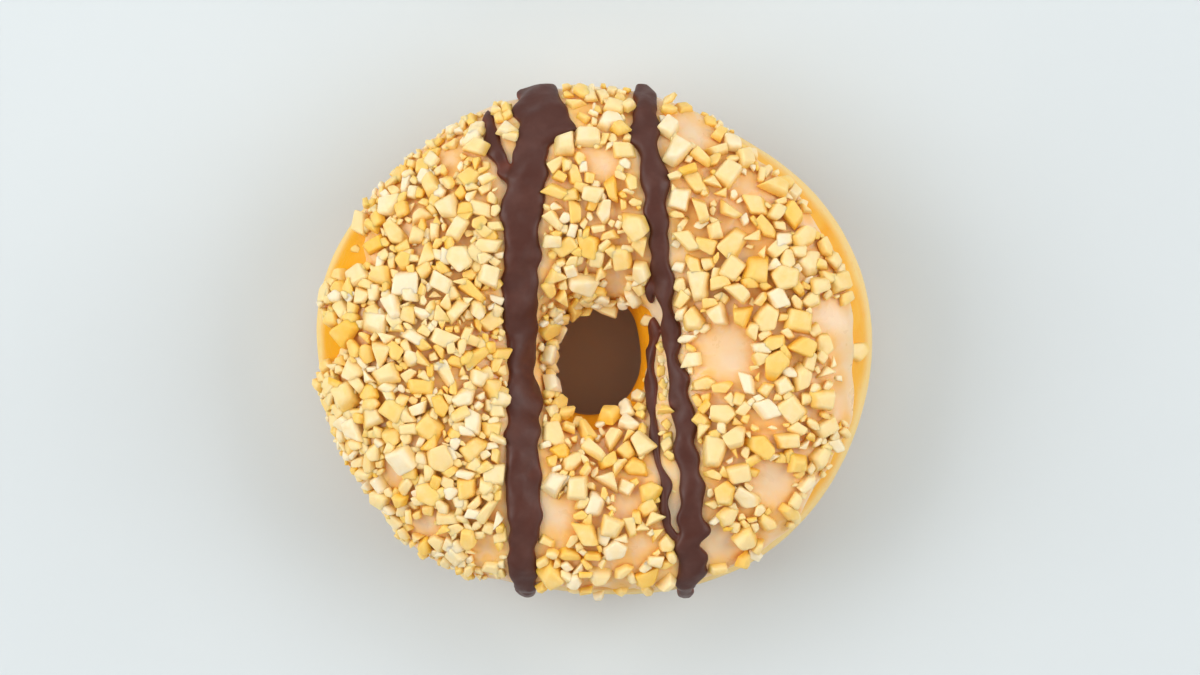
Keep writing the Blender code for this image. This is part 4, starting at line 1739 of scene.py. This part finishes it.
@dataclass
class ChocolateLines:
    """The poured chocolate: lumpy lines laid over the coat, then melted into one body."""

    ring: RingForm
    icing: IcingForm
    coat_turn: float = 1.5
    coat_section: float = 3.0
    coat_lift: float = 1.0
    coat_edge: float = 3.0
    bare_coat_lift: float = 0.2
    back_turn: float = 24.0
    front_turn: float = -27.0
    bend_radius: float = 17.0
    line_end: float = 2.6
    end_tip: float = 0.02
    sink: float = 1.1
    station: float = 0.4
    sides: int = 28
    lump: float = 0.20
    lump_length: float = 6.0
    lump_seed: int = 11
    ripple: float = 0.03
    ripple_length: float = 2.6
    ripple_seed: int = 12
    edge_wander: float = 0.32
    wander_length: float = 4.6
    wander_gap: float = 10.0
    voxel: float = 0.215
    softening: float = 0.5
    soften_rounds: int = 3
    thin_span: Span = (0.25, 0.95)

    def coat(self) -> BVHTree:
        """Makes the surface that the chocolate runs over.

        Returns:
            The surface, in millimetres.
        """
        turns = np.arange(0.0, 360.0, self.coat_turn)
        angles = np.arange(0.0, 360.0, self.coat_section)
        around, section = np.meshgrid(turns, angles, indexing="ij")
        outer, inner = self.icing.edges(around)
        cover = np.minimum(
            smooth_step(section - outer, -self.coat_edge, self.coat_edge),
            smooth_step(inner - section, -self.coat_edge, self.coat_edge),
        )
        lift = self.bare_coat_lift + (self.coat_lift - self.bare_coat_lift) * cover
        points = self.ring.surface(around, section, lift)[0]
        return BVHTree.FromPolygons(points.reshape(-1, 3).tolist(), loop_faces(*around.shape))

    def on_coat(
        self, tree: BVHTree, line: ChocolateLine, travel: float, across: float
    ) -> tuple[Vector, Vector]:
        """Point and normal of the coat under a line.

        Args:
            tree: The coat.
            line: The line of chocolate.
            travel: y, unrolled past the two turns where the line runs down the rim.
            across: -1 at the line's left edge, 1 at its right edge.

        Returns:
            The point in millimetres and the normal.
        """
        turn = min(max(travel, self.front_turn), self.back_turn)
        lean = (travel - turn) / self.bend_radius
        away = Vector((0.0, math.sin(lean), math.cos(lean)))
        y = travel
        for _ in range(3):
            left, right = line.edges(y)
            x = (left + right) / 2.0 + across * (right - left) / 2.0
            start = Vector((x, turn, self.ring.waist_height)) + away * RAY_START
            hit, normal, _, _ = tree.ray_cast(start, -away)
            y = hit.y
        return hit, normal

    def station_share(self, line: ChocolateLine, share: float) -> float:
        """How full the line is at a share of its length, from near 0 at its ends to 1."""
        from_end = min(share, 1.0 - share) * (line.back - line.front)
        return math.sqrt(min(1.0, max(from_end, self.end_tip) / self.line_end))

    def body(self, tree: BVHTree, line: ChocolateLine) -> tuple[np.ndarray, list[tuple[int, ...]]]:
        """Makes one line as a closed tube with round ends.

        Args:
            tree: The coat.
            line: The line of chocolate.

        Returns:
            The points, and the corners of each face.
        """
        length = line.back - line.front
        count = int(length / self.station)
        wander = WaveField(line.seed, self.wander_length)
        lumps = WaveField(self.lump_seed, self.lump_length)
        ripples = WaveField(self.ripple_seed, self.ripple_length)
        points = []
        for index in range(count + 1):
            end = self.station_share(line, index / count)
            travel = line.back - length * (index / count)
            for angle in np.arange(self.sides) * 2.0 * np.pi / self.sides:
                cosine, sine = math.cos(angle), math.sin(angle)
                edge = np.array([self.wander_gap * np.sign(cosine), travel, 0.0])
                width = 1.0 + self.edge_wander / line.half_width * float(wander.at(edge))
                hit, normal = self.on_coat(tree, line, travel, end * width * cosine)
                lifted = self.sink * sine
                if sine > 0.0:
                    place = np.array(hit)
                    swell = self.lump * float(lumps.at(place)) + self.ripple * float(ripples.at(place))
                    lifted = (line.rise + swell) * end * sine**0.5
                points.append(np.array(hit + normal * lifted))
        faces = []
        for index in range(count):
            here, beyond = index * self.sides, (index + 1) * self.sides
            for side in range(self.sides):
                beside = (side + 1) % self.sides
                faces.append((here + side, here + beside, beyond + beside, beyond + side))
        faces.append(tuple(reversed(range(self.sides))))
        faces.append(tuple(range(count * self.sides, (count + 1) * self.sides)))
        return np.array(points), faces

    def melt(self, piece: bpy.types.Object) -> None:
        """Melts the crossing lines into one body and softens it.

        Args:
            piece: The lines, which get the melted mesh.
        """
        remesh = piece.modifiers.new("melt", "REMESH")
        remesh.mode = "VOXEL"
        remesh.voxel_size = self.voxel * MM
        smooth = piece.modifiers.new("soften", "SMOOTH")
        smooth.factor = self.softening
        smooth.iterations = self.soften_rounds
        bpy.context.view_layer.update()
        evaluated = piece.evaluated_get(bpy.context.evaluated_depsgraph_get())
        mesh = bpy.data.meshes.new_from_object(evaluated)
        piece.modifiers.clear()
        piece.data = mesh
        mesh.shade_smooth()

    def mark_thin(self, mesh: bpy.types.Mesh, tree: BVHTree) -> None:
        """Stores how thin the chocolate is over the coat, from 0 to 1.

        Args:
            mesh: The melted chocolate.
            tree: The coat.
        """
        over = np.array([tree.find_nearest(Vector(place))[3] for place in point_places(mesh) / MM])
        store_values(mesh, "thinness", 1.0 - smooth_step(over, *self.thin_span))

    def build(self, finish: ChocolateFinish) -> bpy.types.Object:
        """Makes all lines, melts them together and marks where they are thin.

        Args:
            finish: The chocolate's finish.

        Returns:
            The finished piece.
        """
        tree = self.coat()
        points: list[np.ndarray] = []
        faces: list[tuple[int, ...]] = []
        for line in LINES:
            line_points, line_faces = self.body(tree, line)
            base = sum(len(part) for part in points)
            points.append(line_points)
            faces.extend(tuple(base + corner for corner in face) for face in line_faces)
        piece = mesh_piece("dark_chocolate_lines", np.concatenate(points), faces)
        outward(piece)
        self.melt(piece)
        self.mark_thin(piece.data, tree)
        dress(piece, finish.material(), Node.ICING)
        return piece


@dataclass(frozen=True)
class Softbox:
    """A soft light that faces the doughnut: its name, place and size in metres, and its watts."""

    name: str
    place: Triple
    size: Span
    watts: float

    def hang(self) -> None:
        """Hangs the light."""
        lamp = bpy.data.lights.new(self.name, "AREA")
        lamp.shape = "RECTANGLE"
        lamp.size, lamp.size_y = self.size
        lamp.energy = self.watts
        holder = bpy.data.objects.new(self.name, lamp)
        holder.location = self.place
        holder.rotation_mode = "QUATERNION"
        holder.rotation_quaternion = (-Vector(self.place)).to_track_quat("-Z", "Y")
        bpy.context.scene.collection.objects.link(holder)


@dataclass(frozen=True)
class Studio:
    """The pale floor, the soft lights on all sides and the camera straight above."""

    view_width: float = 200.0
    camera_height: float = 640.0
    frame_centre: Span = (0.83, 0.58)
    sensor: float = 36.0
    floor_half: float = 1.6
    floor_gap: float = 0.00002
    softboxes: tuple[Softbox, ...] = (
        Softbox("left_softbox", (-0.80, 0.10, 0.66), (0.8, 0.8), 7.3),
        Softbox("right_softbox", (0.80, 0.10, 0.66), (0.8, 0.8), 6.0),
        Softbox("back_softbox", (0.0, 0.85, 0.70), (1.1, 0.6), 3.4),
        Softbox("front_softbox", (0.0, -0.85, 0.60), (1.1, 0.6), 2.0),
    )
    surroundings: float = 0.25

    def floor(self, finish: FloorFinish) -> None:
        """Lays the floor.

        Args:
            finish: The floor's finish.
        """
        half = self.floor_half
        signs = ((-1, -1), (1, -1), (1, 1), (-1, 1))
        corners = [(x * half, y * half, -self.floor_gap) for x, y in signs]
        mesh = bpy.data.meshes.new("floor")
        mesh.from_pydata(corners, [], [(0, 1, 2, 3)])
        mesh.materials.append(finish.material())
        floor = bpy.data.objects.new("floor", mesh)
        bpy.context.scene.collection.objects.link(floor)

    def camera(self) -> None:
        """Sets the camera over the doughnut, as the photo was taken."""
        data = bpy.data.cameras.new("overhead")
        data.sensor_width = self.sensor
        middle = 0.5 * (CAD_BOX[0][2] + CAD_BOX[1][2]) / MM
        data.lens = self.sensor * (self.camera_height - middle) / self.view_width
        holder = bpy.data.objects.new("overhead", data)
        holder.location = (self.frame_centre[0] * MM, self.frame_centre[1] * MM, self.camera_height * MM)
        bpy.context.scene.collection.objects.link(holder)
        bpy.context.scene.camera = holder

    def build(self) -> None:
        """Sets up floor, lights, surroundings and camera."""
        self.floor(FloorFinish())
        for softbox in self.softboxes:
            softbox.hang()
        world = bpy.data.worlds.new("soft_surroundings")
        world.use_nodes = True
        background = world.node_tree.nodes["Background"]
        background.inputs["Color"].default_value = (1.0, 1.0, 1.0, 1.0)
        background.inputs["Strength"].default_value = self.surroundings
        bpy.context.scene.world = world
        bpy.context.scene.view_settings.view_transform = "Standard"
        self.camera()


def main() -> None:
    """Builds the doughnut piece by piece and reports each one."""
    logging.basicConfig(level=logging.INFO, format="%(name)s %(message)s")
    ring = RingForm()
    icing = IcingForm(ring)
    layout = AlmondLayout(ring, icing)
    chocolate = ChocolateLines(ring, icing)
    coat = chocolate.coat()
    sites = layout.sites() + layout.dropped_sites(coat, layout.strip_pieces, layout.strip_piece_lift)
    strays = layout.dropped_sites(coat, layout.dough_pieces, layout.dough_piece_lift)
    LOG.info("almond pieces on the icing: %d, on bare dough: %d", len(sites), len(strays))
    almonds = AlmondPieces(layout)
    DoughRing(ring).build(CrustFinish())
    IcingCoat(icing, sites).build(IcingFinish())
    almonds.build("chopped_almonds", sites, AlmondFinish(), Node.ICING)
    almonds.build("stray_almonds", strays, AlmondFinish(), Node.DOUGH)
    chocolate.build(ChocolateFinish())
    Studio().build()


if __name__ == "__main__":
    main()
